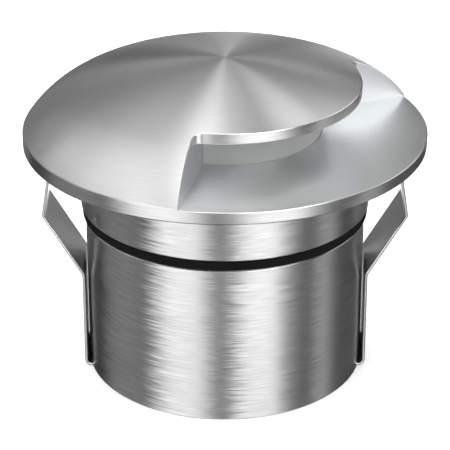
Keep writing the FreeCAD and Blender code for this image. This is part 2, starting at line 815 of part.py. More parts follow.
def bent_strip(points, bends):
    """Spring strip of the clip's width and thickness along (x, z) points, one radius a bend."""
    path = [FreeCAD.Vector(x, -CLIP_WIDTH / 2, z) for x, z in points]
    near = offset_side(path, bends, CLIP_THICKNESS / 2)
    far = offset_side(path, bends, -CLIP_THICKNESS / 2)
    ends = [Part.LineSegment(near[0].firstVertex().Point, far[0].firstVertex().Point).toShape(),
            Part.LineSegment(near[-1].lastVertex().Point, far[-1].lastVertex().Point).toShape()]
    outline = Part.Wire(Part.__sortEdges__(near + far + ends))
    return Part.Face(outline).extrude(FreeCAD.Vector(0, CLIP_WIDTH, 0))


def clip_line():
    """Corner points of the whole clip on the +X side, from the hook's end to the tip."""
    half = CLIP_THICKNESS / 2
    wall_at_edge = math.sqrt(body_bore ** 2 - (CLIP_WIDTH / 2) ** 2)
    inner_leg = wall_at_edge - SLIP_FIT - half
    outer_leg = body_radius + LIGHT_FIT + half
    foot = CLIP_FOOT_LIFT + half
    return [
        (inner_leg, clip_hook_top),
        (inner_leg, foot),
        (outer_leg, foot),
        (outer_leg, CLIP_REST_HEIGHT),
        (body_radius + CLIP_KNEE_REACH, CLIP_KNEE_HEIGHT),
        (body_radius + CLIP_TIP_REACH, clip_tip_height),
    ]


def clip_parting():
    """Where the free arm starts: just past the bend at which the strip leaves the body."""
    rest, knee = clip_line()[3], clip_line()[4]
    run = FreeCAD.Vector(knee[0] - rest[0], 0, knee[1] - rest[1])
    turn = math.atan2(run.x, run.z)
    distance = CLIP_REST_BEND * math.tan(turn / 2) + CLIP_ARM_MARGIN
    run.normalize()
    return rest[0] + run.x * distance, rest[1] + run.z * distance


def clip_hook(turn):
    """Fixed half of a clip: it hooks over the body's lower edge and lies against its side."""
    line = clip_line()
    strip = bent_strip(line[:4] + [clip_parting()],
                       [CLIP_FOOT_BEND, CLIP_FOOT_BEND, CLIP_REST_BEND])
    strip.rotate(FreeCAD.Vector(), UP, turn)
    return strip


def clip_arm(turn):
    """Free half of a clip: it springs outwards and turns back under the rim."""
    line = clip_line()
    strip = bent_strip([clip_parting()] + line[4:], [CLIP_KNEE_BEND])
    tips = [edge for edge in strip.Edges if edge.Length < CLIP_THICKNESS + SAME
            and edge.BoundBox.ZMax > clip_tip_height - CLIP_THICKNESS]
    strip = strip.makeFillet(CLIP_TIP_ROUND, tips)
    strip.rotate(FreeCAD.Vector(), UP, turn)
    return strip


def pieces():
    """Every piece of the light by its name."""
    named = {
        "face_cap": face_cap(),
        "light_window": light_window(),
        "window_seal": window_seal(),
        "deflector": deflector(),
        "neck_collar": neck_collar(),
        "neck_seal": neck_seal(),
        "body_tube": body_tube(),
        "led_carrier": led_carrier(),
        "carrier_ring": carrier_ring(),
        "thermal_pad": thermal_pad(),
        "led_board": led_board(),
        "led_chips": led_chips(),
        "reflector_cup": reflector_cup(),
        "board_screws": board_screws(),
        "led_leads": led_leads(),
        "driver_board": driver_board(),
        "driver_posts": driver_posts(),
        "driver_screws": driver_screws(),
        "driver_capacitor": driver_capacitor(),
        "driver_coil": driver_coil(),
        "driver_rectifier": driver_rectifier(),
        "terminal_block": terminal_block(),
        "base_cover": base_cover(),
        "base_seal": base_seal(),
        "base_screws": base_screws(),
        "gland_body": gland_body(),
        "gland_grommet": gland_grommet(),
        "gland_nut": gland_nut(),
        "gland_locknut": gland_locknut(),
    }
    for side, turn in SIDES.items():
        named[side + "_clip_hook"] = clip_hook(turn)
        named[side + "_clip_arm"] = clip_arm(turn)
    return named


os.makedirs("parts", exist_ok=True)
for name, shape in pieces().items():
    shape.exportStep("parts/" + name + ".step")
    print(name, "solids", len(shape.Solids), "valid", shape.isValid(), "volume", round(shape.Volume, 2))
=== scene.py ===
"""Looks of the recessed ground light: shown pieces, finishes, floor, lights and camera.

Metres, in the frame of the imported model: +Z is up, the origin is the middle of the body's lower
edge, the spring clips lie on the X axis and the pocket in the face looks towards +X and -Y.
"""

import math

import bmesh
import bpy
from mathutils import Matrix, Vector


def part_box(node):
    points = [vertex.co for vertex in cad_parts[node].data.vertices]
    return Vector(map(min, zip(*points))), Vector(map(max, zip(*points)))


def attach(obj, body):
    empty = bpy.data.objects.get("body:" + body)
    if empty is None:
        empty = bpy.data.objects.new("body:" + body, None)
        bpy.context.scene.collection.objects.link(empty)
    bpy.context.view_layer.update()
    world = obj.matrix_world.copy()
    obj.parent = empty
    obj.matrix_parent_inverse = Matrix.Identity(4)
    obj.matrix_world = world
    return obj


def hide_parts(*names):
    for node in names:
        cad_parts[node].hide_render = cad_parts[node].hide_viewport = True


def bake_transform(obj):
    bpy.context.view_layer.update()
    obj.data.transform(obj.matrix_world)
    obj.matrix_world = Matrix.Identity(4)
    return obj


bl_info = {
    "name": "Recessed Ground Light",
    "version": (1, 0, 0),
    "blender": (4, 5, 0),
    "location": "View3D > Sidebar > Ground Light",
    "description": "Builds the shown pieces, finishes and studio of a recessed ground light",
    "category": "Object",
}

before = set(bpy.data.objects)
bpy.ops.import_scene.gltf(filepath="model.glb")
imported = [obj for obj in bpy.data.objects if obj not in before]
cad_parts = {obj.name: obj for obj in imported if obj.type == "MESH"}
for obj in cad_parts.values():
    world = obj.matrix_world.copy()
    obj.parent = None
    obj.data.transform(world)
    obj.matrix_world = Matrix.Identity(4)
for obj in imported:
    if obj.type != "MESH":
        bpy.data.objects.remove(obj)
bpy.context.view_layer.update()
FACE_LOW, FACE_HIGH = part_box("face_cap")
COLLAR_LOW, COLLAR_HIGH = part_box("neck_collar")
BODY_LOW, BODY_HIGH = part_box("body_tube")
SEAL_LOW, SEAL_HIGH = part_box("neck_seal")
WINDOW_LOW, WINDOW_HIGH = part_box("light_window")
HOOK_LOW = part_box("right_clip_hook")[0]
ARM_LOW, ARM_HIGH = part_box("right_clip_arm")
RING_LOW, RING_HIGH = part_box("carrier_ring")
COVER_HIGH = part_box("base_cover")[1]

MM = 0.001
UP = Vector((0, 0, 1))
# Smallest turn, in radians, that is a corner
STRAIGHT = 1e-4

# Steps round a whole turn, of a rounded corner and of a small edge round
TURN_STEPS, CORNER_STEPS, EDGE_STEPS = 288, 4, 5

# Finishes of the face, and the places of its surfaces in that list
FACE_FINISHES = ("turned_face", "turned_rim", "milled_walls", "faced_floor")
DOME, RIM, WALLS, FLOOR = range(4)
# Where the dome's faces fan out from, as distance and direction: away from the pocket
FAN_MIDDLE = (7 * MM, math.radians(140))
# Steps round the rim outside the pocket, along the pocket, from the rim to the eyelid, and from
# the dome's middle to its edge
RIM_STEPS, POCKET_STEPS, WALL_STEPS, DOME_STEPS = 300, 160, 29, 60
# Steps of the cutter's round beside the eyelid, and those over which the eyelid's round runs out
CUTTER_STEPS, LID_END_STEPS = 14, 8

# Steps of a quarter of the body, of a notch, along the thread and round a screw boss
QUARTER_STEPS, NOTCH_STEPS, THREAD_STEPS, BOSS_STEPS = 71, 12, 59, 32
# A screw boss in the body: its radius, its middle's distance inside the bore, and its height
BOSS_RADIUS, BOSS_INSET, BOSS_HEIGHT = 2.2 * MM, 3.4 * MM, 4.0 * MM
# Steps of a clip's bend and of its tip
BEND_STEPS, TIP_STEPS = 12, 10

# Noise scales of turned steel per metre: grooves along and across them, and slow patches
FINE_GROOVES, BROAD_GROOVES, PATCHES = (230, 5800), (120, 2100), 160.0
# Span in which most values of that noise lie
NOISE_MIDDLE = (0.35, 0.65)
# Shares of the edge factor in the tone of turned steel, where it paints a highlight along edges,
# and in its roughness, where worn edges are smoother
PAINTED_EDGE_HIGHLIGHT, WEAR_GLOSS = 0.2, -0.06

# Distances of the light cards and the lamps, and radii of the tent and the floor, in metres
CARD_DISTANCE, LAMP_DISTANCE, TENT_RADIUS, FLOOR_RADIUS = 0.9, 0.9, 4.0, 3.0
# Strength of the white background as a light, and what the floor adds to itself where it is seen
WORLD_FILL, FLOOR_GLOW = 0.5, 0.25


def length(default, name, description, low=0.0):
    """A property that holds a real length."""
    return bpy.props.FloatProperty(name=name, description=description, default=default, min=low,
                                   unit="LENGTH", precision=5)


def angle(default, name, description):
    """A property that holds an angle, given here in degrees."""
    return bpy.props.FloatProperty(name=name, description=description,
                                   default=math.radians(default), unit="ROTATION")


def colour(default, name, description):
    """A property that holds a colour."""
    return bpy.props.FloatVectorProperty(name=name, description=description, default=default,
                                         subtype="COLOR", size=3, min=0.0, max=1.0)


def number(default, name, description, high=10.0):
    """A property that holds a plain number."""
    return bpy.props.FloatProperty(name=name, description=description, default=default, min=0.0,
                                   max=high)


class FaceSizes(bpy.types.PropertyGroup):
    """Sizes of the domed face"""

    dome_height: length(10.63 * MM, "Dome height", "Top of the dome above the rim's edge")
    crown_radius: length(60 * MM, "Crown radius", "Radius of the flat middle of the dome")
    crown_reach: length(22 * MM, "Crown reach", "Where the crown runs into the shoulder")
    rim_thickness: length(2.14 * MM, "Rim thickness", "Height of the rim's side")
    rim_chamfer: length(0.2 * MM, "Rim chamfer", "Bevel round the rim")
    rim_land: length(2.4 * MM, "Rim land", "Width of the ring that bears on the ground")
    rim_relief: length(0.3 * MM, "Rim relief", "Depth of the hollow inside that ring")
    pocket_start: angle(-102.5, "Pocket start", "Direction of the pocket's first wall")
    pocket_end: angle(23.2, "Pocket end", "Direction of the pocket's second wall")
    pocket_drop: length(0.18 * MM, "Pocket drop", "Pocket floor below the rim's top edge")
    pocket_corner: length(1.5 * MM, "Pocket corner", "Cutter round beside the eyelid")
    lid_overhang: length(5.75 * MM, "Lid overhang", "How far the eyelid reaches past the window")
    lid_thickness: length(1.6 * MM, "Lid thickness", "Height of the eyelid's edge")
    boss_radius: length(18.2 * MM, "Boss radius", "Outer radius of the boss under the face")
    bore_room: length(0.1 * MM, "Bore room", "Clearance between the window and the face")
    edge_round: length(0.14 * MM, "Edge round", "Polished round along the face's edges")


class BodySizes(bpy.types.PropertyGroup):
    """Sizes of the neck, the ring seal and the body"""

    neck_skin: length(0.36 * MM, "Neck skin", "How far the shown collar stands off the packed one")
    seal_skin: length(0.3 * MM, "Seal skin", "How far the shown seal stands off the packed one")
    body_wall: length(1.65 * MM, "Body wall", "Thickness of the round body")
    seal_round: length(0.45 * MM, "Seal round", "Round on the ring seal's outer edges")
    edge_chamfer: length(0.2 * MM, "Edge chamfer", "Bevel on the edges of neck and body")
    top_chamfer: length(0.3 * MM, "Top chamfer", "Bevel on the body's top edge")
    edge_round: length(0.08 * MM, "Edge round", "Softening of every turned edge")
    collar_bore: length(18.25 * MM, "Collar bore", "Bore of the collar round the face's boss")
    ledge_bore: length(15.6 * MM, "Ledge bore", "Opening of the ledge that holds the window")
    ledge_thickness: length(1.2 * MM, "Ledge thickness", "Height of that ledge")
    shoulder: length(3.36 * MM, "Shoulder", "Height of the body's inner shoulder")
    spigot_radius: length(19.25 * MM, "Spigot radius", "Outer radius of the threaded spigot")
    thread_room: length(0.05 * MM, "Thread room", "Clearance round spigot and rings")
    thread_pitch: length(1.5 * MM, "Thread pitch", "Rise of the spigot's thread in one turn")
    thread_depth: length(0.35 * MM, "Thread depth", "Depth of the spigot's thread")
    spigot_wall: length(1.65 * MM, "Spigot wall", "Thickness of the threaded spigot")
    notch_width: length(10.3 * MM, "Notch width", "Width of the notch for a clip's foot")
    notch_height: length(1.2 * MM, "Notch height", "Height of the notch for a clip's foot")


class WindowSizes(bpy.types.PropertyGroup):
    """Sizes of the frosted window"""

    flange_width: length(3.15 * MM, "Flange width", "How far the flange stands off the wall")
    flange_thickness: length(1.3 * MM, "Flange thickness", "Height of the flange")
    wall: length(1.45 * MM, "Wall", "Thickness of the window")
    top_round: length(0.3 * MM, "Top round", "Round along the window's upper edge")


class ClipSizes(bpy.types.PropertyGroup):
    """Sizes of the two spring clips"""

    thickness: length(0.4 * MM, "Thickness", "Thickness of the spring strip")
    hook_height: length(6.2 * MM, "Hook height", "Top of the leg inside the body")
    body_room: length(0.14 * MM, "Body room", "Clearance between strip and body")
    rest_height: length(15.75 * MM, "Rest height", "Where the strip leaves the body")
    knee_height: length(25.6 * MM, "Knee height", "Height of the widest point")
    knee_reach: length(6.1 * MM, "Knee reach", "How far the widest point stands off the body")
    tip_height: length(34.59 * MM, "Tip height", "Height of the tip")
    tip_reach: length(4.68 * MM, "Tip reach", "How far the tip stands off the body")
    foot_bend: length(0.8 * MM, "Foot bend", "Bend radius under the body's edge")
    rest_bend: length(2.0 * MM, "Rest bend", "Bend radius where the strip leaves the body")
    knee_bend: length(0.9 * MM, "Knee bend", "Bend radius at the widest point")
    tip_round: length(1.5 * MM, "Tip round", "Corner radius of the tip")
    edge_round: length(0.2 * MM, "Edge round", "Rolled round along the strip's edges")


class Finishes(bpy.types.PropertyGroup):
    """Colours of the finishes"""

    steel: colour((0.72, 0.72, 0.718), "Steel", "Colour of the stainless steel")
    pocket: colour((0.7, 0.715, 0.72), "Pocket", "Colour of the milled pocket")
    spring: colour((0.68, 0.68, 0.67), "Spring steel", "Colour of the clips")
    rubber: colour((0.008, 0.008, 0.0084), "Rubber", "Colour of the seals")
    window: colour((0.45, 0.45, 0.45), "Window", "Colour of the frosted window")


class Studio(bpy.types.PropertyGroup):
    """Floor, lights and camera"""

    floor_colour: colour((0.86, 0.86, 0.86), "Floor", "Colour of the floor")
    lamp_power: number(1.0, "Lamp power", "Share of the lamps' usual power")
    card_strength: number(1.0, "Card strength", "Share of the light cards' usual strength")
    tent_grey: number(0.01, "Tent grey", "Brightness of the tent between the light cards")
    lens: number(158.7, "Lens", "Focal length in millimetres", high=1000.0)
    view_elevation: angle(26.006, "View elevation", "Height of the camera above the horizon")
    view_distance: length(302.03 * MM, "View distance", "From the camera to what it looks at")
    view_height: length(21.78 * MM, "View height", "Height of what the camera looks at")


# Mesh building


class Shell:
    """A mesh put together from grids of points that carry their own surface directions."""

    def __init__(self):
        self.mesh = bmesh.new()
        self.directions = self.mesh.loops.layers.float_vector.new("corner_direction")
        # Edge factor per corner, 1 along edges and 0 elsewhere: the finishes make worn edges
        # smoother with it and paint light along them
        self.wear = self.mesh.loops.layers.float.new("edge_wear")

    def grid(self, rows, finish=0, closed=False):
        """Faces between rows of (point, direction, edge factor); closed joins each row's two ends.
        """
        made = []
        for row in rows:
            made.append([(self.mesh.verts.new(point), direction, wear)
                         for point, direction, wear in row])
        count = len(made[0]) if closed else len(made[0]) - 1
        for lower, upper in zip(made, made[1:]):
            for step in range(count):
                after = (step + 1) % len(lower)
                self.face([lower[step], lower[after], upper[after], upper[step]], finish)

    def face(self, corners, finish=0):
        """One four-sided face, turned so that it looks along its corners' directions."""
        points = [corner[0].co for corner in corners]
        across = (points[2] - points[0]).cross(points[3] - points[1])
        if across.length == 0:
            return
        outward = sum((corner[1] for corner in corners), Vector())
        if across.dot(outward) < 0:
            corners = corners[::-1]
        made = self.mesh.faces.new([corner[0] for corner in corners])
        made.material_index = finish
        made.smooth = True
        for loop, (_, direction, wear) in zip(made.loops, corners):
            loop[self.directions] = direction
            loop[self.wear] = wear

    def finish(self, name, materials):
        """The joined mesh as a new object of the scene."""
        bmesh.ops.remove_doubles(self.mesh, verts=self.mesh.verts, dist=2e-7)
        bmesh.ops.dissolve_degenerate(self.mesh, edges=self.mesh.edges, dist=1e-7)
        data = bpy.data.meshes.new(name)
        self.mesh.to_mesh(data)
        self.mesh.free()
        layer = data.attributes["corner_direction"].data
        directions = [Vector(corner.vector).normalized() for corner in layer]
        data.attributes.remove(data.attributes["corner_direction"])
        data.normals_split_custom_set(directions)
        for material in materials:
            data.materials.append(material)
        made = bpy.data.objects.new(name, data)
        bpy.context.scene.collection.objects.link(made)
        return made


def spread(start, end, steps):
    """Evenly spaced values from start to end, both included."""
    return [start + (end - start) * step / steps for step in range(steps + 1)]


def eased(share):
    """Smooth step from 0 to 1."""
    share = max(0.0, min(1.0, share))
    return share * share * (3 - 2 * share)


def polar(radius, turn):
    """Place in the plan at a distance and direction."""
    return Vector((radius * math.cos(turn), radius * math.sin(turn)))


def lifted(place, height):
    """A place of the plan at a height."""
    return Vector((place.x, place.y, height))


def around(radius, turn, height=0):
    """A point at a distance, direction and height."""
    return lifted(polar(radius, turn), height)


def turned_by(vector, turn):
    """A vector of the plane turned counter-clockwise."""
    return Vector((vector.x * math.cos(turn) - vector.y * math.sin(turn),
                   vector.x * math.sin(turn) + vector.y * math.cos(turn)))


def turn_between(before, after):
    """Signed angle from one direction of the plane to another."""
    return math.atan2(before.x * after.y - before.y * after.x, before.dot(after))


def rounded_outline(corners, closed=True):
    """(radius, height, across, up, edge factor) points along (radius, height, round) corners.

    The outline runs with the solid on its left, so a point's direction is to its right.
    """
    count = len(corners)
    places = [Vector((corner[0], corner[1])) for corner in corners]
    points = []
    for index, corner in enumerate(corners):
        if not closed and index in (0, count - 1):
            ahead = places[1] - places[0] if index == 0 else places[-1] - places[-2]
            side = Vector((ahead.y, -ahead.x)).normalized()
            points.append((places[index].x, places[index].y, side.x, side.y, 0.0))
            continue
        before = (places[index] - places[index - 1]).normalized()
        after = (places[(index + 1) % count] - places[index]).normalized()
        first = Vector((before.y, -before.x))
        turn = turn_between(before, after)
        if corner[2] == 0 or abs(turn) < STRAIGHT:
            points.append((places[index].x, places[index].y, first.x, first.y, 0.0))
            continue
        reach = corner[2] * math.tan(abs(turn) / 2)
        start = places[index] - before * reach
        centre = start - first * corner[2] * math.copysign(1, turn)
        for share in spread(0, 1, CORNER_STEPS):
            side = turned_by(first, turn * share)
            place = centre + side * corner[2] * math.copysign(1, turn)
            wear = math.sin(math.pi * share) if turn > 0 else 0.0
            points.append((place.x, place.y, side.x, side.y, wear))
    return points


def turned_rows(outline, turns, closed_outline=True):
    """Rows for Shell.grid: an outline turned about the Z axis through the given directions."""
    points = outline + outline[:1] if closed_outline else outline
    rows = []
    for radius, height, across, up, wear in points:
        rows.append([(around(radius, turn, height), around(across, turn, up), wear)
                     for turn in turns])
    return rows


def full_turn(count=TURN_STEPS):
    """Directions of a whole turn."""
    return [math.tau * step / count for step in range(count)]


def turned_piece(name, corners, materials):
    """A ring or disc turned from an outline of (radius, height, round) corners."""
    shell = Shell()
    shell.grid(turned_rows(rounded_outline(corners), full_turn()), closed=True)
    return shell.finish(name, materials)


def settle(piece, body, slot, *nodes):
    """Lets a piece ride on its body and stand for its nodes, which it hides; its slot is not used.
    """
    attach(piece, body)
    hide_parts(*nodes)
    return piece


# Finishes


def shader(name):
    """A new material with its node tree and its surface shader."""
    material = bpy.data.materials.new(name)
    material.use_nodes = True
    tree = material.node_tree
    return material, tree, tree.nodes["Principled BSDF"]


def feed(tree, node, inputs):
    """Gives a node's inputs, by name or number, fixed values or other nodes' outputs."""
    for key, value in inputs.items():
        if isinstance(value, bpy.types.NodeSocket):
            tree.links.new(value, node.inputs[key])
        else:
            node.inputs[key].default_value = value


def added(tree, kind, inputs=None, **settings):
    """A new node with its settings and its inputs."""
    made = tree.nodes.new(kind)
    for key, value in settings.items():
        setattr(made, key, value)
    feed(tree, made, inputs or {})
    return made


def calculated(tree, operation, first, second=0.0):
    """A math node's result from sockets or fixed numbers."""
    return added(tree, "ShaderNodeMath", {0: first, 1: second}, operation=operation).outputs[0]


def weighed(tree, *pairs):
    """The sum of values, each times its share, from (value, share) pairs."""
    total, *others = [calculated(tree, "MULTIPLY", value, share) for value, share in pairs]
    for other in others:
        total = calculated(tree, "ADD", total, other)
    return total


def object_place(tree):
    """Texture space of the piece, in metres."""
    return added(tree, "ShaderNodeTexCoord").outputs["Object"]


def parted(tree, vector):
    """A vector's three parts."""
    return added(tree, "ShaderNodeSeparateXYZ", {0: vector}).outputs


def edge_wear(tree):
    """How worn the surface is and how much light is painted along its edges: 1 along edges and 0
    elsewhere.
    """
    return added(tree, "ShaderNodeAttribute", attribute_name="edge_wear").outputs["Fac"]


def round_tangent(tree):
    """The direction round the Z axis, in which lathe grooves run."""
    return added(tree, "ShaderNodeTangent", direction_type="RADIAL", axis="Z").outputs[0]


def relief(tree, height, strength, depth, **inputs):
    """The direction of a surface that has a fine relief."""
    return added(tree, "ShaderNodeBump", {
        "Height": height, "Strength": strength, "Distance": depth, **inputs}).outputs[0]


def noise(tree, vector, scale=1.0, detail=2.0, roughness=0.5):
    """Noise over a vector, from 0 to 1."""
    return added(tree, "ShaderNodeTexNoise", {
        "Vector": vector, "Scale": scale, "Detail": detail, "Roughness": roughness}).outputs["Fac"]


def ranged(tree, value, low, high, source=(0.3, 0.7), **settings):
    """A value stretched from one span to another."""
    return added(tree, "ShaderNodeMapRange", {
        "Value": value, "From Min": source[0], "From Max": source[1], "To Min": low,
        "To Max": high}, **settings).outputs["Result"]


def tinted(tree, factor, low, high):
    """A colour between two, by a factor."""
    return added(tree, "ShaderNodeMix", {
        "A": (*low, 1), "B": (*high, 1), "Factor": factor}, data_type="RGBA").outputs["Result"]


def shade(base, share):
    """A colour made darker or lighter by a share."""
    return tuple(min(1.0, part * share) for part in base)


def groove_vector(tree, run, along, across):
    """Texture space in which lathe grooves lie: run picks rings on a face or lines round a wall."""
    x, y, z = parted(tree, object_place(tree))
    if run == "rings":
        square = calculated(tree, "ADD", calculated(tree, "MULTIPLY", x, x),
                            calculated(tree, "MULTIPLY", y, y))
        z = calculated(tree, "SQRT", square)
    scaled = [calculated(tree, "MULTIPLY", part, scale)
              for part, scale in ((x, along), (y, along), (z, across))]
    return added(tree, "ShaderNodeCombineXYZ", dict(enumerate(scaled))).outputs[0]


def leaned_normal(tree, lines, lean):
    """The surface's direction leaned along the grooves, so that bands of light end raggedly."""
    offset = calculated(tree, "MULTIPLY", calculated(tree, "SUBTRACT", lines, 0.5), lean)
    scaled = added(tree, "ShaderNodeVectorMath", {0: round_tangent(tree), "Scale": offset},
                   operation="SCALE")
    normal = added(tree, "ShaderNodeNewGeometry").outputs["Normal"]
    total = added(tree, "ShaderNodeVectorMath", {0: normal, 1: scaled.outputs[0]}, operation="ADD")
    even = added(tree, "ShaderNodeVectorMath", {0: total.outputs[0]}, operation="NORMALIZE")
    return even.outputs[0]


def turned_steel(name, base, run, rough, anisotropy, lean, contrast=0.1, depth=0.002 * MM):
    """Lathe-turned or brushed steel: fine grooves round the Z axis, smoother along worn edges and
    with a painted highlight along them.
    """
    material, tree, surface = shader(name)
    fine = noise(tree, groove_vector(tree, run, *FINE_GROOVES), roughness=0.6)
    broad = noise(tree, groove_vector(tree, run, *BROAD_GROOVES), roughness=0.6)
    patch = noise(tree, object_place(tree), PATCHES)
    wear = edge_wear(tree)
    # The edge factor lightens the tone along edges: a painted highlight.
    tone = weighed(tree, (fine, 0.85), (patch, 0.15), (wear, PAINTED_EDGE_HIGHLIGHT))
    smoother = calculated(tree, "MULTIPLY", wear, WEAR_GLOSS)
    feed(tree, surface, {
        "Metallic": 1.0,
        "Anisotropic": anisotropy,
        "Anisotropic Rotation": 0.25,
        "Tangent": round_tangent(tree),
        "Base Color": tinted(tree, ranged(tree, tone, 0, 1, NOISE_MIDDLE),
                             shade(base, 1 - contrast), shade(base, 1 + contrast)),
        "Roughness": calculated(tree, "ADD", ranged(tree, broad, *rough, NOISE_MIDDLE), smoother),
        "Normal": relief(tree, fine, 0.3, depth, Normal=leaned_normal(tree, fine, lean)),
    })
    return material


def satin_metal(name, base, rough, grain=1500.0, depth=0.004 * MM, worn=1.12, polish=0.0):
    """Milled, blasted, cast or tumbled metal: fine even grain with slow changes of gloss."""
    material, tree, surface = shader(name)
    place, wear = object_place(tree), edge_wear(tree)
    fine = noise(tree, place, grain, 3.0, 0.6)
    # Along edges the tone moves towards the worn share of the colour: a painted highlight where
    # that share is above 1, painted shade where it is below.
    tone = weighed(tree, (noise(tree, place, grain / 12), 0.8), (wear, 0.4))
    smoother = calculated(tree, "MULTIPLY", wear, -polish)
    feed(tree, surface, {
        "Metallic": 1.0,
        "Base Color": tinted(tree, ranged(tree, tone, 0, 1, (0.2, 0.9)), shade(base, 0.93),
                             shade(base, worn)),
        "Roughness": calculated(tree, "ADD", ranged(tree, fine, *rough), smoother),
        "Normal": relief(tree, fine, 0.3, depth),
    })
    return material


def moulded(name, base, rough, grain=900.0, subsurface=0.0, gloss=0.5, depth=0.01 * MM):
    """Moulded plastic, rubber or a coated board: slight mottling and a fine uneven skin."""
    material, tree, surface = shader(name)
    place = object_place(tree)
    fine = noise(tree, place, grain, 4.0, 0.6)
    mottle = ranged(tree, noise(tree, place, grain / 10), 0, 1)
    feed(tree, surface, {
        "Specular IOR Level": gloss,
        "Subsurface Weight": subsurface,
        "Subsurface Scale": MM,
        "Base Color": tinted(tree, mottle, shade(base, 0.93), shade(base, 1.06)),
        "Roughness": ranged(tree, fine, *rough),
        "Normal": relief(tree, fine, 0.4, depth),
    })
    return material


# Finishes: maker, colour or the name of a colour that can be set, and the maker's other values in
# the order of its arguments
FINISHES = {
    "turned_face": (turned_steel, "steel", "rings", (0.28, 0.295), 1.0, 0.02, 0.03, 0.0002 * MM),
    "turned_rim": (turned_steel, "steel", "lines", (0.3, 0.32), 0.85, 0.1, 0.08),
    "brushed_round": (turned_steel, "steel", "lines", (0.305, 0.33), 0.85, 0.24, 0.15),
    "milled_walls": (satin_metal, "pocket", (0.38, 0.46)),
    "faced_floor": (turned_steel, "pocket", "rings", (0.355, 0.375), 0.95, 0.03, 0.02,
                    0.0002 * MM),
    # The clips' edges are painted a little darker, a painted shade, and polished smoother.
    "spring_strip": (satin_metal, "spring", (0.3, 0.36), 2500.0, 0.0004 * MM, 0.9, 0.17),
    "frosted_window": (moulded, "window", (0.32, 0.42), 1200.0),
    "black_rubber": (moulded, "rubber", (0.8, 0.95), 1500.0, 0.0, 0.03),
    "white_plastic": (moulded, (0.85, 0.85, 0.83), (0.3, 0.4), 900.0, 0.1),
    "aluminium": (turned_steel, (0.8, 0.8, 0.81), "rings", (0.25, 0.35), 0.6, 0.15),
    "pad_grey": (moulded, (0.33, 0.35, 0.38), (0.7, 0.85)),
    "board_white": (moulded, (0.82, 0.82, 0.8), (0.35, 0.5)),
    "board_green": (moulded, (0.02, 0.16, 0.06), (0.25, 0.4)),
    "chip_yellow": (moulded, (0.85, 0.6, 0.12), (0.2, 0.3), 900.0, 0.2),
    "screw_steel": (satin_metal, (0.6, 0.59, 0.57), (0.22, 0.35)),
    "lead_red": (moulded, (0.5, 0.03, 0.02), (0.35, 0.5)),
    "can_black": (moulded, (0.02, 0.02, 0.03), (0.2, 0.35)),
    "coil_grey": (moulded, (0.09, 0.085, 0.08), (0.6, 0.8)),
    "terminal_grey": (moulded, (0.3, 0.31, 0.32), (0.4, 0.55)),
    "black_plastic": (moulded, (0.02, 0.02, 0.022), (0.4, 0.55)),
    "nickel_brass": (satin_metal, (0.66, 0.63, 0.56), (0.2, 0.32), 1200.0),
}


def finish(key):
    """The shown material of this name, made at its first use."""
    name = key + "_shown"
    made = bpy.data.materials.get(name)
    if made:
        return made
    maker, base, *values = FINISHES[key]
    if isinstance(base, str):
        base = tuple(getattr(bpy.context.scene.light_finishes, base))
    return maker(name, base, *values)


# The face


class DomeLine:
    """The dome's outline: a flat crown that runs smoothly into a tight shoulder."""

    def __init__(self, sizes):
        self.reach = sizes.crown_reach
        self.crown = sizes.crown_radius
        self.low = FACE_HIGH.z - sizes.crown_radius
        tilt = math.asin(sizes.crown_reach / sizes.crown_radius)
        outward = Vector((math.sin(tilt), math.cos(tilt)))
        meeting = Vector((0, self.low)) + outward * sizes.crown_radius
        chord = Vector((FACE_HIGH.x, FACE_HIGH.z - sizes.dome_height)) - meeting
        self.shoulder = -chord.dot(chord) / (2 * chord.dot(outward))
        self.centre = meeting - outward * self.shoulder

    def at(self, radius):
        """(height, outward share, upward share) of the surface at a distance from the axis."""
        if radius <= self.reach:
            up = math.sqrt(self.crown ** 2 - radius ** 2)
            return self.low + up, radius / self.crown, up / self.crown
        out = min(radius - self.centre.x, self.shoulder)
        up = math.sqrt(self.shoulder ** 2 - out ** 2)
        return self.centre.y + up, out / self.shoulder, up / self.shoulder

    def over(self, place):
        """(point, direction) of the surface over a place in the plan."""
        height, out, up = self.at(place.length)
        away = place.normalized() if place.length > 0 else Vector((0, 0))
        return lifted(place, height), Vector((away.x * out, away.y * out, up))


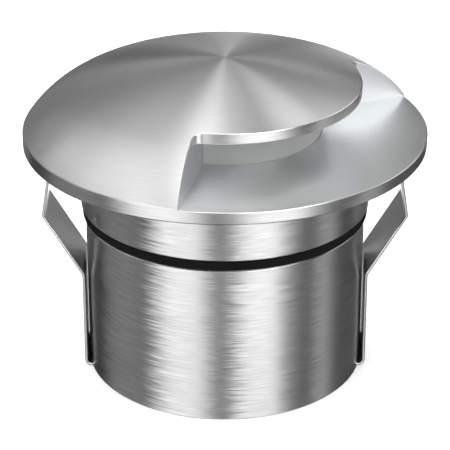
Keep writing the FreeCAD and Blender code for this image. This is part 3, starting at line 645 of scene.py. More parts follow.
class FacePlan:
    """What the sizes of the face fix before any of its surfaces is made."""

    def __init__(self, context):
        self.sizes = sizes = context.scene.light_face
        self.dome = DomeLine(sizes)
        self.rim = FACE_HIGH.x
        rim_top = FACE_HIGH.z - sizes.dome_height
        self.rim_low = rim_top - sizes.rim_thickness
        self.floor = rim_top - sizes.pocket_drop
        self.floor_edge = self.floor - sizes.rim_chamfer
        window = WINDOW_HIGH.x - context.scene.light_window.flange_width
        self.bore = window + sizes.bore_room
        self.lid = window + sizes.lid_overhang
        self.lid_low = self.dome.at(self.lid)[0] - sizes.lid_thickness
        self.start = sizes.pocket_start + math.tau
        self.end = sizes.pocket_end + math.tau
        self.swing = math.asin(sizes.pocket_corner / (self.lid + sizes.pocket_corner))
        self.tangent = (self.lid + sizes.pocket_corner) * math.cos(self.swing)
        self.closed_turns = spread(sizes.pocket_end, self.start, RIM_STEPS)
        self.open_turns = spread(self.start, self.end, POCKET_STEPS)
        self.radii = [self.rim] + spread(self.rim - sizes.rim_chamfer, self.tangent, WALL_STEPS)

    def rim_edge(self):
        """(place, direction) round the rim where it isn't cut."""
        return [(polar(self.rim, turn), polar(1, turn)) for turn in self.closed_turns]

    def wall_edge(self, turn, side):
        """(place, direction) along one wall of the pocket, from the rim inwards."""
        across = polar(1, turn + side * math.pi / 2)
        return [(polar(radius, turn), across) for radius in self.radii]

    def lid_edge(self):
        """(place, direction) round the eyelid, with the cutter's round at both ends."""
        corner = self.sizes.pocket_corner
        quarter = math.pi / 2 - self.swing
        centre = polar(self.lid + corner, self.start + self.swing)
        shares = spread(0, 1, CUTTER_STEPS)
        sides = [polar(1, self.start + math.pi / 2 - share * quarter) for share in shares]
        edge = [(centre - side * corner, side) for side in sides]
        for turn in spread(self.start + self.swing, self.end - self.swing, 150)[1:]:
            edge.append((polar(self.lid, turn), polar(1, turn)))
        centre = polar(self.lid + corner, self.end - self.swing)
        sides = [polar(1, self.end - self.swing - share * quarter) for share in shares]
        return edge + [(centre - side * corner, side) for side in sides[1:]]


def curved_between(first, first_side, corner, last, last_side):
    """(point, direction, edge factor) of a small round from one surface over a corner to the next.
    """
    points = []
    for share in spread(0, 1, EDGE_STEPS):
        rest = 1 - share
        place = first * rest * rest + corner * 2 * rest * share + last * share * share
        side = (first_side * rest + last_side * share).normalized()
        points.append((place, side, math.sin(math.pi * share)))
    return points


def dome_top(shell, plan):
    """The dome's surface and the polished round along its edge."""
    first_wall = plan.wall_edge(plan.start, 1)
    second_wall = plan.wall_edge(plan.end, -1)
    edge = plan.rim_edge() + first_wall[1:-1] + plan.lid_edge() + second_wall[1:-1][::-1]
    inset = [place - side * plan.sizes.edge_round for place, side in edge]
    middle = polar(*FAN_MIDDLE)
    rows = []
    for share in spread(0, 1, DOME_STEPS):
        over = [plan.dome.over(middle + (place - middle) * share) for place in inset]
        rows.append([(point, side, 0.0) for point, side in over])
    shell.grid(rows, DOME, closed=True)
    columns = []
    for (place, side), within in zip(edge, inset):
        columns.append(edge_round(plan, place, side, within))
    shell.grid([list(row) for row in zip(*columns)], DOME, closed=True)


def edge_round(plan, place, side, within):
    """The round over one point of the dome's edge, from the dome down onto the wall."""
    top, top_side = plan.dome.over(within)
    corner = lifted(place, plan.dome.at(place.length)[0])
    return curved_between(top, top_side, corner, corner - UP * plan.sizes.edge_round,
                          lifted(side, 0))


def wall_top(plan, place):
    """Where the dome's edge round ends on the wall below it."""
    return plan.dome.at(place.length)[0] - plan.sizes.edge_round


def rim_side(shell, plan):
    """The rim's side below the dome, down to the level of the pocket's edge."""
    edge = plan.rim_edge()
    top = [(lifted(place, wall_top(plan, place)), lifted(side, 0), 0.0) for place, side in edge]
    low = [(lifted(place, plan.floor_edge), lifted(side, 0), 0.0) for place, side in edge]
    shell.grid([top, low], RIM)


def pocket_walls(shell, plan):
    """The two straight walls of the pocket, which run on under the eyelid."""
    for turn, side in ((plan.start, 1), (plan.end, -1)):
        edge = plan.wall_edge(turn, side)
        across = lifted(edge[0][1], 0)
        rows = [[], [], []]
        for index, (place, _) in enumerate(edge):
            top = wall_top(plan, place)
            low = plan.floor_edge if index == 0 else plan.floor
            for row, height in zip(rows, (top, min(top, plan.lid_low), low)):
                row.append((lifted(place, height), across, 0.0))
        shell.grid(rows, WALLS)
        inner, outer = polar(plan.bore, turn), edge[-1][0]
        shell.grid([[(lifted(place, height), across, 0.0) for place in (inner, outer)]
                    for height in (plan.floor, plan.lid_low)], WALLS)


def eyelid(shell, plan):
    """The eyelid's edge, the round below it, its underside and the ceiling of the bore."""
    edge = plan.lid_edge()
    turns = spread(plan.start, plan.end, len(edge) - 1)
    columns = []
    for index, (place, side) in enumerate(edge):
        share = eased(min(index, len(edge) - 1 - index) / LID_END_STEPS)
        small = plan.sizes.edge_round * share
        across = lifted(side, 0)
        corner = lifted(place, plan.lid_low)
        column = [(lifted(place, wall_top(plan, place)), across, 0.0)]
        column += curved_between(corner + UP * small, across, corner,
                                 lifted(place - side * small, plan.lid_low), -UP)
        columns.append(column)
    rows = [list(row) for row in zip(*columns)]
    shell.grid(rows, RIM)
    inner = [(around(plan.bore, turn, plan.lid_low), -UP, 0.0) for turn in turns]
    outer = [(point, -UP, 0.0) for point, _, _ in rows[-1]]
    shell.grid([outer, inner], WALLS)
    closed = [(around(plan.bore, turn, plan.lid_low), -UP, 0.0)
              for turn in plan.closed_turns]
    ceiling = closed + inner[1:-1]
    shell.grid([ceiling, [(Vector((0, 0, plan.lid_low)), -UP, 0.0)] * len(ceiling)], WALLS,
               closed=True)


def pocket_floor(shell, plan):
    """The pocket's floor with the bevel at its outer edge."""
    rows = []
    for radius in [plan.bore] + plan.radii[:0:-1]:
        rows.append([(around(radius, turn, plan.floor), UP, 0.0)
                     for turn in plan.open_turns])
    shell.grid(rows, FLOOR)
    bevel = [(place, side, 1.0) for place, side, _ in rows[-1]]
    rim = [(around(plan.rim, turn, plan.floor_edge), around(1, turn), 1.0)
           for turn in plan.open_turns]
    shell.grid([bevel, rim], FLOOR)


def lower_face(shell, plan):
    """The rim's lower side, its hollowed underside, the boss and the bore."""
    sizes = plan.sizes
    soft = sizes.edge_round / 2
    hollow = plan.rim_low + sizes.rim_relief
    land = plan.rim - sizes.rim_land
    outline = rounded_outline([
        (plan.bore, plan.floor, 0),
        (plan.bore, FACE_LOW.z, soft),
        (sizes.boss_radius, FACE_LOW.z, soft),
        (sizes.boss_radius, hollow, 0),
        (land, hollow, 0),
        (land, plan.rim_low, soft),
        (plan.rim - sizes.rim_chamfer, plan.rim_low, soft),
        (plan.rim, plan.rim_low + sizes.rim_chamfer, soft),
        (plan.rim, plan.floor_edge, 0),
    ], closed=False)
    turns = plan.closed_turns + plan.open_turns[1:-1]
    shell.grid(turned_rows(outline, turns, closed_outline=False), RIM, closed=True)
    rows = []
    for height in (plan.floor, plan.lid_low):
        rows.append([(around(plan.bore, turn, height), around(-1, turn), 0.0)
                     for turn in plan.closed_turns])
    shell.grid(rows, WALLS)


def build_face(context):
    """The face as one closed shell."""
    plan = FacePlan(context)
    shell = Shell()
    for part in (dome_top, rim_side, pocket_walls, eyelid, pocket_floor, lower_face):
        part(shell, plan)
    face = shell.finish("domed_face", [finish(key) for key in FACE_FINISHES])
    settle(face, "face", "turned_steel", "face_cap")


def build_window(context):
    """The frosted window that stands in the pocket under the eyelid."""
    sizes = context.scene.light_window
    outer = WINDOW_HIGH.x - sizes.flange_width
    inner = outer - sizes.wall
    flange_top = WINDOW_LOW.z + sizes.flange_thickness
    soft = sizes.top_round / 3
    outline = rounded_outline([
        (0, WINDOW_HIGH.z - sizes.wall, 0),
        (inner, WINDOW_HIGH.z - sizes.wall, soft),
        (inner, WINDOW_LOW.z, soft),
        (WINDOW_HIGH.x, WINDOW_LOW.z, soft),
        (WINDOW_HIGH.x, flange_top, soft),
        (outer, flange_top, soft),
        (outer, WINDOW_HIGH.z, sizes.top_round),
        (0, WINDOW_HIGH.z, 0),
    ], closed=False)
    shell = Shell()
    shell.grid(turned_rows(outline, full_turn(), closed_outline=False), closed=True)
    window = shell.finish("frosted_window", [finish("frosted_window")])
    settle(window, "face", "frosted_window", "light_window")


# Neck, seal and body


def build_neck(context):
    """The smooth collar under the rim and the rubber ring below it."""
    sizes = context.scene.light_body
    radius, soft, bevel = COLLAR_HIGH.x + sizes.neck_skin, sizes.edge_round, sizes.edge_chamfer
    thread = sizes.spigot_radius + sizes.thread_room
    ledge_low = WINDOW_LOW.z - sizes.ledge_thickness
    collar = turned_piece("smooth_collar", [
        (thread, COLLAR_LOW.z, soft),
        (radius - bevel, COLLAR_LOW.z, soft),
        (radius, COLLAR_LOW.z + bevel, soft),
        (radius, COLLAR_HIGH.z - bevel, soft),
        (radius - bevel, COLLAR_HIGH.z, soft),
        (sizes.collar_bore, COLLAR_HIGH.z, soft),
        (sizes.collar_bore, WINDOW_LOW.z, 0),
        (sizes.ledge_bore, WINDOW_LOW.z, soft),
        (sizes.ledge_bore, ledge_low, soft),
        (thread, ledge_low, 0),
    ], [finish("brushed_round")])
    settle(collar, "face", "brushed_steel", "neck_collar")
    seal = turned_piece("ring_seal", [
        (thread, SEAL_LOW.z, soft),
        (SEAL_HIGH.x + sizes.seal_skin, SEAL_LOW.z, sizes.seal_round),
        (SEAL_HIGH.x + sizes.seal_skin, SEAL_HIGH.z, sizes.seal_round),
        (thread, SEAL_HIGH.z, soft),
    ], [finish("black_rubber")])
    settle(seal, "ring_seal", "black_rubber", "neck_seal")


def body_outline(sizes, foot):
    """The body's outline below its spigot and inside, with its lower edge at a height."""
    radius, soft, bevel = BODY_HIGH.x, sizes.edge_round, sizes.edge_chamfer
    bore = radius - sizes.body_wall
    spigot_bore = sizes.spigot_radius - sizes.spigot_wall
    shoulder = SEAL_LOW.z - sizes.shoulder
    groove = RING_HIGH.x + sizes.thread_room
    level = sizes.notch_height + 2 * bevel
    return rounded_outline([
        (sizes.spigot_radius - sizes.thread_depth, BODY_HIGH.z, soft),
        (spigot_bore, BODY_HIGH.z, soft),
        (spigot_bore, shoulder, soft),
        (bore, shoulder, 0),
        (bore, RING_HIGH.z, 0),
        (groove, RING_HIGH.z, 0),
        (groove, RING_LOW.z - sizes.thread_room, 0),
        (bore, RING_LOW.z - sizes.thread_room, 0),
        (bore, level, 0),
        (bore, foot, soft),
        (radius - bevel, foot, soft),
        (radius, foot + bevel, soft),
        (radius, level, 0),
        (radius, SEAL_LOW.z - sizes.top_chamfer, soft),
        (radius - sizes.top_chamfer, SEAL_LOW.z, soft),
        (sizes.spigot_radius, SEAL_LOW.z, 0),
    ], closed=False)


def body_rays(half_notch):
    """Pairs (inside a notch, rays) round the body; a ray turns a radius into a direction."""
    spans = []
    for quarter in range(4):
        base = quarter * math.pi / 2
        towards = 1 if quarter % 2 == 0 else -1

        def ray(share, base=base, towards=towards):
            """Direction at a radius, from the notch's edge (0) to a quarter turn away (1)."""
            def direction(radius):
                edge = math.asin(half_notch / radius)
                turn = edge + (math.pi / 2 - edge) * share
                return base + turn if towards > 0 else base + math.pi / 2 - turn
            return direction
        shares = spread(0, 1, QUARTER_STEPS)
        spans.append((False, [ray(share) for share in (shares if towards > 0
                                                       else shares[::-1])]))
    for side in (0, math.pi):
        def notch_ray(share, side=side):
            """Direction at a radius inside a notch, from one edge (-1) to the other (1)."""
            return lambda radius: side + share * math.asin(half_notch / radius)
        spans.append((True, [notch_ray(share) for share in spread(-1, 1, NOTCH_STEPS)]))
    return spans


def body_grid(shell, outline, rays):
    """An outline turned through rays that may depend on the radius."""
    rows = []
    for radius, height, across, up, wear in outline:
        row = []
        for ray in rays:
            turn = ray(radius)
            row.append((around(radius, turn, height),
                        around(across, turn, up), wear))
        rows.append(row)
    shell.grid(rows)


def spigot_thread(shell, sizes):
    """The spigot's right-handed thread, which runs out at both ends."""
    low, high = SEAL_LOW.z, BODY_HIGH.z
    small = sizes.edge_round / 10

    def radius_at(height, turn):
        phase = (height / sizes.thread_pitch - turn / math.tau) % 1
        tooth = 0.5 - 0.5 * math.cos(math.tau * phase)
        share = eased((height - low) / sizes.thread_pitch)
        worn = max(0.0, (height - (high - sizes.thread_pitch / 2)) / (sizes.thread_pitch / 2))
        cut = sizes.thread_depth * tooth * share * (1 - worn) + sizes.thread_depth * worn
        return sizes.spigot_radius - cut

    rows = []
    for height in spread(low, high - sizes.edge_round, THREAD_STEPS):
        row = []
        for turn in full_turn(4 * QUARTER_STEPS + 2 * NOTCH_STEPS):
            radius = radius_at(height, turn)
            slope = (radius_at(height + small, turn) - radius_at(height - small, turn)) / small / 2
            point = around(radius, turn, height)
            row.append((point, (around(1, turn) - UP * slope).normalized(), 0.0))
        rows.append(row)
    shell.grid(rows, closed=True)


def notch_side(shell, sizes, outlines, side, hand):
    """One upright side of a notch, between the plain and the notched outline."""
    across = Vector((0, -hand * math.cos(side), 0))
    top = sizes.notch_height + 2 * sizes.edge_chamfer
    rows = []
    for outline in outlines:
        rows.append([(around(radius, side + hand * math.asin(sizes.notch_width / 2 / radius),
                             height), across, 0.0)
                     for radius, height, _, _, _ in outline if height <= top])
    shell.grid(rows)


def build_body(context):
    """The round body: brushed wall, notched foot, shoulder and threaded spigot."""
    sizes = context.scene.light_body
    plain, notched = body_outline(sizes, 0.0), body_outline(sizes, sizes.notch_height)
    shell = Shell()
    for inside, rays in body_rays(sizes.notch_width / 2):
        body_grid(shell, notched if inside else plain, rays)
    for side in (0, math.pi):
        for hand in (-1, 1):
            notch_side(shell, sizes, (plain, notched), side, hand)
    spigot_thread(shell, sizes)
    for turn in (math.pi / 2, math.pi * 7 / 6, math.pi * 11 / 6):
        screw_boss(shell, sizes, turn)
    body = shell.finish("brushed_body", [finish("brushed_round")])
    settle(body, "body", "brushed_steel", "body_tube")


def screw_boss(shell, sizes, turn):
    """One boss inside the body for a screw of the base cover."""
    low, high = COVER_HIGH.z, COVER_HIGH.z + BOSS_HEIGHT
    middle = around(BODY_HIGH.x - sizes.body_wall - BOSS_INSET, turn)
    outline = [(0, low, 0, -1, 0.0), (BOSS_RADIUS, low, 0, -1, 0.0), (BOSS_RADIUS, low, 1, 0, 0.0),
               (BOSS_RADIUS, high, 1, 0, 0.0), (BOSS_RADIUS, high, 0, 1, 0.0), (0, high, 0, 1, 0.0)]
    rows = turned_rows(outline, full_turn(BOSS_STEPS), closed_outline=False)
    shell.grid([[(point + middle, side, wear) for point, side, wear in row] for row in rows],
               closed=True)


# Spring clips


def clip_path(sizes):
    """(place, heading) pairs along the middle of the right clip's strip, hook end to tip."""
    half = sizes.thickness / 2
    outer = BODY_HIGH.x + sizes.body_room + half
    inner = HOOK_LOW.x + half
    foot = HOOK_LOW.z + half
    corners = [
        (Vector((inner, sizes.hook_height)), 0),
        (Vector((inner, foot)), sizes.foot_bend),
        (Vector((outer, foot)), sizes.foot_bend),
        (Vector((outer, sizes.rest_height)), sizes.rest_bend),
        (Vector((BODY_HIGH.x + sizes.knee_reach, sizes.knee_height)), sizes.knee_bend),
        (Vector((BODY_HIGH.x + sizes.tip_reach, sizes.tip_height)), 0),
    ]
    path = []
    for index in range(1, len(corners) - 1):
        place, bend = corners[index]
        before = (place - corners[index - 1][0]).normalized()
        after = (corners[index + 1][0] - place).normalized()
        turn = turn_between(before, after)
        reach = bend * math.tan(abs(turn) / 2)
        sign = math.copysign(1, turn)
        start = place - before * reach
        centre = start + Vector((-before.y, before.x)) * bend * sign
        if index == 1:
            path += straight(corners[0][0], start, before)
        else:
            path += straight(path[-1][0], start, before)[1:]
        for share in spread(0, 1, BEND_STEPS)[1:]:
            heading = turned_by(before, turn * share)
            path.append((centre - Vector((-heading.y, heading.x)) * bend * sign, heading))
    return path + straight(path[-1][0], corners[-1][0], after)[1:]


def straight(start, end, heading, step=0.6 * MM):
    """Evenly spaced (place, heading) pairs from one place to another."""
    steps = max(1, round((end - start).length / step))
    return [(start + (end - start) * share, heading) for share in spread(0, 1, steps)]


def end_points(path, reach):
    """The path with closely spaced pairs within a reach of both its ends."""
    first, last = path[0], path[-1]
    room = reach * 1.05
    inner = [pair for pair in path if (pair[0] - first[0]).length > room
             and (pair[0] - last[0]).length > room]
    steps = [reach * (1 - math.cos(math.pi / 2 * share)) for share in spread(0, 1, TIP_STEPS)]
    start = [(first[0] + first[1] * step, first[1]) for step in steps]
    end = [(last[0] - last[1] * step, last[1]) for step in reversed(steps)]
    return start + inner + end


def strip_rows(sizes, path, width, mirror):
    """Rows of a rounded strip's cross-sections, closed to a line at both ends."""
    half, thick, soft = width / 2, sizes.thickness / 2, sizes.edge_round
    rows = []
    for index, (place, heading) in enumerate(path):
        near = min((place - path[0][0]).length, (place - path[-1][0]).length)
        ahead = 1 if index > len(path) / 2 else -1
        narrow, lean = 0.0, 0.0
        if near < sizes.tip_round:
            lean = 1 - near / sizes.tip_round
            narrow = sizes.tip_round * (1 - math.sqrt(max(0.0, 1 - lean * lean)))
        thin, pitch = 0.0, 0.0
        if near < soft:
            pitch = 1 - near / soft
            thin = soft * (1 - math.sqrt(max(0.0, 1 - pitch * pitch)))
        rows.append(section(place, heading, half - narrow, thick - thin, soft,
                            ahead * lean, ahead * pitch, mirror))
    for row in (rows[0], rows[-1]):
        heading = path[0][1] * -1 if row is rows[0] else path[-1][1]
        side = space(heading, 0, mirror)
        middle = sum((point for point, _, _ in row), Vector()) / len(row)
        cap = [(Vector((middle.x, point.y, middle.z)), side, 0.0) for point, _, _ in row]
        edge = [(point, side, 0.0) for point, _, _ in row]
        rows = [cap, edge] + rows if row is rows[0] else rows + [edge, cap]
    return rows


def space(place, across, mirror):
    """A place of the clip's side view put into space, on the left when mirrored."""
    return Vector((-place.x if mirror else place.x, across, place.y))


def section(place, heading, half, thick, soft, lean, pitch, mirror):
    """(point, direction, edge factor) once round the strip at one place of its path."""
    normal = Vector((-heading.y, heading.x))
    soft = min(soft, thick)
    row = []
    for quarter in range(4):
        sign_y = (1, -1, -1, 1)[quarter]
        sign_n = (1, 1, -1, -1)[quarter]
        for share in spread(0, 1, CORNER_STEPS):
            turn = (quarter + share) * math.pi / 2
            out_y, out_n = math.cos(turn), math.sin(turn)
            point = place + normal * (sign_n * (thick - soft) + out_n * soft)
            width = sign_y * (half - soft) + out_y * soft
            forward = lean * abs(out_y) + pitch * abs(out_n)
            side = space(normal * out_n + heading * forward, out_y, mirror).normalized()
            row.append((space(point, width, mirror), side, math.sin(math.pi * share)))
    return row


def build_clips(context):
    """Both spring clips, each one continuous strip from its hook to its tip."""
    sizes = context.scene.light_clips
    width = ARM_HIGH.y - ARM_LOW.y
    path = end_points(clip_path(sizes), sizes.tip_round)
    for name, mirror in (("left", True), ("right", False)):
        shell = Shell()
        shell.grid(strip_rows(sizes, path, width, mirror), closed=True)
        clip = shell.finish(name + "_spring_clip", [finish("spring_strip")])
        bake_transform(clip)
        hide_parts(name + "_clip_hook", name + "_clip_arm")


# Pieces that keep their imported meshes

DRESS = {
    "window_seal": "black_rubber",
    "deflector": "white_plastic",
    "led_carrier": "aluminium",
    "carrier_ring": "spring_strip",
    "thermal_pad": "pad_grey",
    "led_board": "board_white",
    "led_chips": "chip_yellow",
    "reflector_cup": "white_plastic",
    "board_screws": "screw_steel",
    "led_leads": "lead_red",
    "driver_board": "board_green",
    "driver_posts": "nickel_brass",
    "driver_screws": "screw_steel",
    "driver_capacitor": "can_black",
    "driver_coil": "coil_grey",
    "driver_rectifier": "can_black",
    "terminal_block": "terminal_grey",
    "base_cover": "black_plastic",
    "base_seal": "black_rubber",
    "base_screws": "screw_steel",
    "gland_body": "nickel_brass",
    "gland_nut": "nickel_brass",
    "gland_locknut": "nickel_brass",
    "gland_grommet": "black_rubber",
}


def dress_inner_pieces():
    """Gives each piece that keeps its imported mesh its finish."""
    for name, key in DRESS.items():
        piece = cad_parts[name]
        piece.data.materials.clear()
        piece.data.materials.append(finish(key))


# Stage


def facing(azimuth, elevation):
    """Unit vector towards a direction; azimuth 0 is the camera's side and 90 the right."""
    turn, lift = math.radians(azimuth), math.radians(elevation)
    return Vector((math.sin(turn) * math.cos(lift), -math.cos(turn) * math.cos(lift),
                   math.sin(lift)))


def only_in_reflections(thing):
    """Lets a stage piece show in gloss and nowhere else."""
    for kind in ("camera", "diffuse", "transmission", "volume_scatter", "shadow"):
        setattr(thing, "visible_" + kind, False)


def stage_piece(name, make, material, **sizes):
    """A new object of the stage from one of bmesh's makers."""
    shell = bmesh.new()
    make(shell, **sizes)
    data = bpy.data.meshes.new(name)
    shell.to_mesh(data)
    shell.free()
    data.materials.append(material)
    made = bpy.data.objects.new(name, data)
    bpy.context.scene.collection.objects.link(made)
    return made


def emitter(name):
    """A new material, its tree, a new emission node and the input that its light goes to."""
    material, tree, surface = shader(name)
    tree.nodes.remove(surface)
    light = added(tree, "ShaderNodeEmission")
    return material, tree, light, tree.nodes["Material Output"].inputs["Surface"]


def glow(name, strength, soft):
    """Light of a card, which fades towards its edges over the soft share of its half width."""
    material, tree, light, output = emitter(name)
    fades = [ranged(tree, calculated(tree, "ABSOLUTE", part), 0, 1, (1.0, 1.0 - soft),
                    interpolation_type="SMOOTHSTEP")
             for part in parted(tree, object_place(tree))[:2]]
    fade = calculated(tree, "MULTIPLY", *fades)
    feed(tree, light, {"Strength": calculated(tree, "MULTIPLY", fade, strength)})
    clear = added(tree, "ShaderNodeBsdfTransparent")
    both = added(tree, "ShaderNodeAddShader", {0: light.outputs[0], 1: clear.outputs[0]})
    tree.links.new(both.outputs[0], output)
    return material


def light_card(name, azimuth, elevation, width, height, roll, strength, soft):
    """A soft panel that the metal reflects; width and height are angles seen from the light."""
    card = stage_piece(name, bmesh.ops.create_grid, glow(name, strength, soft),
                       x_segments=2, y_segments=2, size=1)
    towards = facing(azimuth, elevation)
    turned = Matrix.Rotation(math.radians(roll), 4, "Z").to_quaternion()
    card.rotation_euler = (towards.to_track_quat("-Z", "Y") @ turned).to_euler()
    card.location = towards * CARD_DISTANCE
    card.scale = (CARD_DISTANCE * math.tan(math.radians(width / 2)),
                  CARD_DISTANCE * math.tan(math.radians(height / 2)), 1)
    only_in_reflections(card)


# Light cards: name, azimuth, elevation, width, height and roll in degrees, strength, soft share.
# A fitting program found these numbers from the photograph's tones: they weren't set by hand.
CARDS = (
    ("front_left", -35, -13, 66, 89, 0, 1.5, 0.8),
    ("front_right", 28, -21, 45, 100, 0, 0.8, 0.6),
    ("right_key", 32, 19, 59, 53, 0, 3.2, 0.6),
    ("overhead", -3, 61, 47, 72, 0, 2, 0.8),
    ("left_high", -73, 49, 110, 111, 0, 1.3, 1.0),
    ("right_side", 86, -19, 35, 71, 0, 0.56, 1.0),
    ("right_back_high", 117, 35, 67, 87, 0, 1.2, 0.6),
    ("back_low", 179, -42, 37, 59, 0, 2.8, 0.6),
    ("left_back", -122, 17, 52, 60, 0, 0.42, 0.8),
    ("back_high", -159, 72, 17, 23, 0, 2, 0.7),
    ("right_bar", 6, -2, 28, 41, 0, 1.4, 0.9),
    ("right_spot", 40, 11, 66, 27, 0, 2.2, 0.7),
    ("back_left", -153, 25, 43, 120, 0, 0.22, 0.6),
    ("back_right", 167, -11, 18, 46, 0, 1.3, 0.6),
    ("left_low", -94, -30, 55, 66, 0, 0.2, 0.6),
    ("back_bar", 168, 24, 45, 22, 0, 0.61, 1.0),
    ("star_high", 178, 53, 13, 20, -2, 1.3, 0.7),
    ("star_low", -179, 26, 3, 13, -1, 0.47, 0.9),
    ("star_right", 160, 53, 19, 17, 20, 1.5, 0.7),
    ("star_left", -171, 26, 5, 22, -11, 0.9, 0.8),
)


def build_cards(context):
    """The light cards and the grey tent behind them."""
    studio = context.scene.light_studio
    for name, *place, strength, soft in CARDS:
        light_card("card_" + name, *place, strength * studio.card_strength, soft)
    material, tree, light, output = emitter("tent")
    feed(tree, light, {"Strength": studio.tent_grey})
    tree.links.new(light.outputs[0], output)
    only_in_reflections(stage_piece("tent", bmesh.ops.create_uvsphere, material,
                                    u_segments=48, v_segments=24, radius=TENT_RADIUS))


def background_share(tree):
    """1 for rays of the camera, of gloss and of clear pieces, and 0 for the rest."""
    path = added(tree, "ShaderNodeLightPath")
    seen = calculated(tree, "MAXIMUM", path.outputs["Is Camera Ray"],
                      path.outputs["Is Glossy Ray"])
    return calculated(tree, "MAXIMUM", seen, path.outputs["Is Transmission Ray"])


def build_world():
    """A white background and an even, weaker fill on the object."""
    world = bpy.data.worlds.new("studio_white")
    bpy.context.scene.world = world
    world.use_nodes = True
    tree = world.node_tree
    seen = calculated(tree, "MULTIPLY", background_share(tree), 1 - WORLD_FILL)
    feed(tree, tree.nodes["Background"], {
        "Color": (1, 1, 1, 1), "Strength": calculated(tree, "ADD", seen, WORLD_FILL)})


def build_floor(context):
    """A pale floor that keeps the light's shadow and runs out into the white background."""
    studio = context.scene.light_studio
    material, tree, surface = shader("pale_floor")
    feed(tree, surface, {
        "Base Color": (*studio.floor_colour, 1),
        "Roughness": 0.9,
        "Specular IOR Level": 0.0,
        "Emission Color": (1, 1, 1, 1),
        "Emission Strength": calculated(tree, "MULTIPLY", background_share(tree), FLOOR_GLOW),
    })
    floor = stage_piece("floor", bmesh.ops.create_circle, material, cap_ends=True, segments=96,
                        radius=FLOOR_RADIUS)
    floor.location.z = BODY_LOW.z
    floor.visible_glossy = False


def lamp(name, azimuth, elevation, size, power):
    """A square soft lamp aimed at the light."""
    data = bpy.data.lights.new(name, "AREA")
    data.size = size
    data.energy = power
    made = bpy.data.objects.new(name, data)
    made.location = facing(azimuth, elevation) * LAMP_DISTANCE
    made.rotation_euler = facing(azimuth, elevation).to_track_quat("Z", "Y").to_euler()
    made.visible_glossy = False
    bpy.context.scene.collection.objects.link(made)


# Lamps: name, azimuth and elevation in degrees, size in metres, power in watts
LAMPS = (
    ("lamp_above", 180, 80, 0.7, 7.0),
    ("lamp_left", -50, 40, 0.5, 4.0),
    ("lamp_right", 60, 35, 0.5, 3.0),
)


def build_lamps(context):
    """Three soft lamps: above, and from both sides of the camera."""
    for name, azimuth, elevation, size, power in LAMPS:
        lamp(name, azimuth, elevation, size, power * context.scene.light_studio.lamp_power)


def build_camera(context):
    """The camera at the photograph's height and distance."""
    studio = context.scene.light_studio
    data = bpy.data.cameras.new("camera")
    data.lens = studio.lens
    data.sensor_width = 36
    data.clip_start = 0.01
    made = bpy.data.objects.new("camera", data)
    aim = Vector((0, 0, studio.view_height))
    back = facing(0, math.degrees(studio.view_elevation))
    made.location = aim + back * studio.view_distance
    made.rotation_euler = back.to_track_quat("Z", "Y").to_euler()
    context.scene.collection.objects.link(made)
    context.scene.camera = made


def build_stage(context):
    """Background, floor, cards, lamps, camera and plain display of colours."""
    build_world()
    build_floor(context)
    build_cards(context)
    build_lamps(context)
    build_camera(context)
    context.scene.view_settings.view_transform = "Standard"


# Operators and panel


class GROUND_LIGHT_OT_face(bpy.types.Operator):
    """Build the domed face with its pocket and eyelid"""

    bl_idname = "ground_light.face"
    bl_label = "Domed face"

    def execute(self, context):
        build_face(context)
        return {"FINISHED"}


class GROUND_LIGHT_OT_window(bpy.types.Operator):
    """Build the frosted window under the eyelid"""

    bl_idname = "ground_light.window"
    bl_label = "Frosted window"

    def execute(self, context):
        build_window(context)
        return {"FINISHED"}


class GROUND_LIGHT_OT_neck(bpy.types.Operator):
    """Build the smooth collar and the ring seal"""

    bl_idname = "ground_light.neck"
    bl_label = "Collar and seal"

    def execute(self, context):
        build_neck(context)
        return {"FINISHED"}


class GROUND_LIGHT_OT_body(bpy.types.Operator):
    """Build the round body with its threaded spigot"""

    bl_idname = "ground_light.body"
    bl_label = "Round body"

    def execute(self, context):
        build_body(context)
        return {"FINISHED"}


class GROUND_LIGHT_OT_clips(bpy.types.Operator):
    """Build the two spring clips"""

    bl_idname = "ground_light.clips"
    bl_label = "Spring clips"

    def execute(self, context):
        build_clips(context)
        return {"FINISHED"}


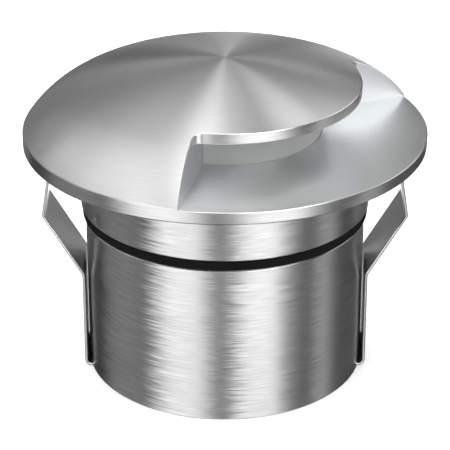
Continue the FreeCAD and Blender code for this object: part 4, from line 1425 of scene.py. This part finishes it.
class GROUND_LIGHT_OT_inner(bpy.types.Operator):
    """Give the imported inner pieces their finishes"""

    bl_idname = "ground_light.inner"
    bl_label = "Inner pieces"

    def execute(self, context):
        dress_inner_pieces()
        return {"FINISHED"}


class GROUND_LIGHT_OT_stage(bpy.types.Operator):
    """Build the floor, the lights and the camera"""

    bl_idname = "ground_light.stage"
    bl_label = "Stage"

    def execute(self, context):
        build_stage(context)
        return {"FINISHED"}


OPERATORS = (GROUND_LIGHT_OT_face, GROUND_LIGHT_OT_window, GROUND_LIGHT_OT_neck,
             GROUND_LIGHT_OT_body, GROUND_LIGHT_OT_clips, GROUND_LIGHT_OT_inner,
             GROUND_LIGHT_OT_stage)


class GROUND_LIGHT_PT_panel(bpy.types.Panel):
    """Lists the operators that build the light"""

    bl_idname = "GROUND_LIGHT_PT_panel"
    bl_label = "Ground Light"
    bl_space_type = "VIEW_3D"
    bl_region_type = "UI"
    bl_category = "Ground Light"

    def draw(self, context):
        for operator in OPERATORS:
            self.layout.operator(operator.bl_idname)


SETTINGS = {
    "light_face": FaceSizes,
    "light_window": WindowSizes,
    "light_body": BodySizes,
    "light_clips": ClipSizes,
    "light_finishes": Finishes,
    "light_studio": Studio,
}


def register():
    """Registers the settings, the operators and the panel."""
    for name, group in SETTINGS.items():
        bpy.utils.register_class(group)
        setattr(bpy.types.Scene, name, bpy.props.PointerProperty(type=group))
    for operator in OPERATORS:
        bpy.utils.register_class(operator)
    bpy.utils.register_class(GROUND_LIGHT_PT_panel)


def unregister():
    """Takes back what register added."""
    bpy.utils.unregister_class(GROUND_LIGHT_PT_panel)
    for operator in OPERATORS:
        bpy.utils.unregister_class(operator)
    for name, group in SETTINGS.items():
        delattr(bpy.types.Scene, name)
        bpy.utils.unregister_class(group)


def main():
    """Builds everything in order."""
    register()
    bpy.ops.ground_light.face()
    bpy.ops.ground_light.window()
    bpy.ops.ground_light.neck()
    bpy.ops.ground_light.body()
    bpy.ops.ground_light.clips()
    bpy.ops.ground_light.inner()
    bpy.ops.ground_light.stage()


if __name__ == "__main__":
    main()
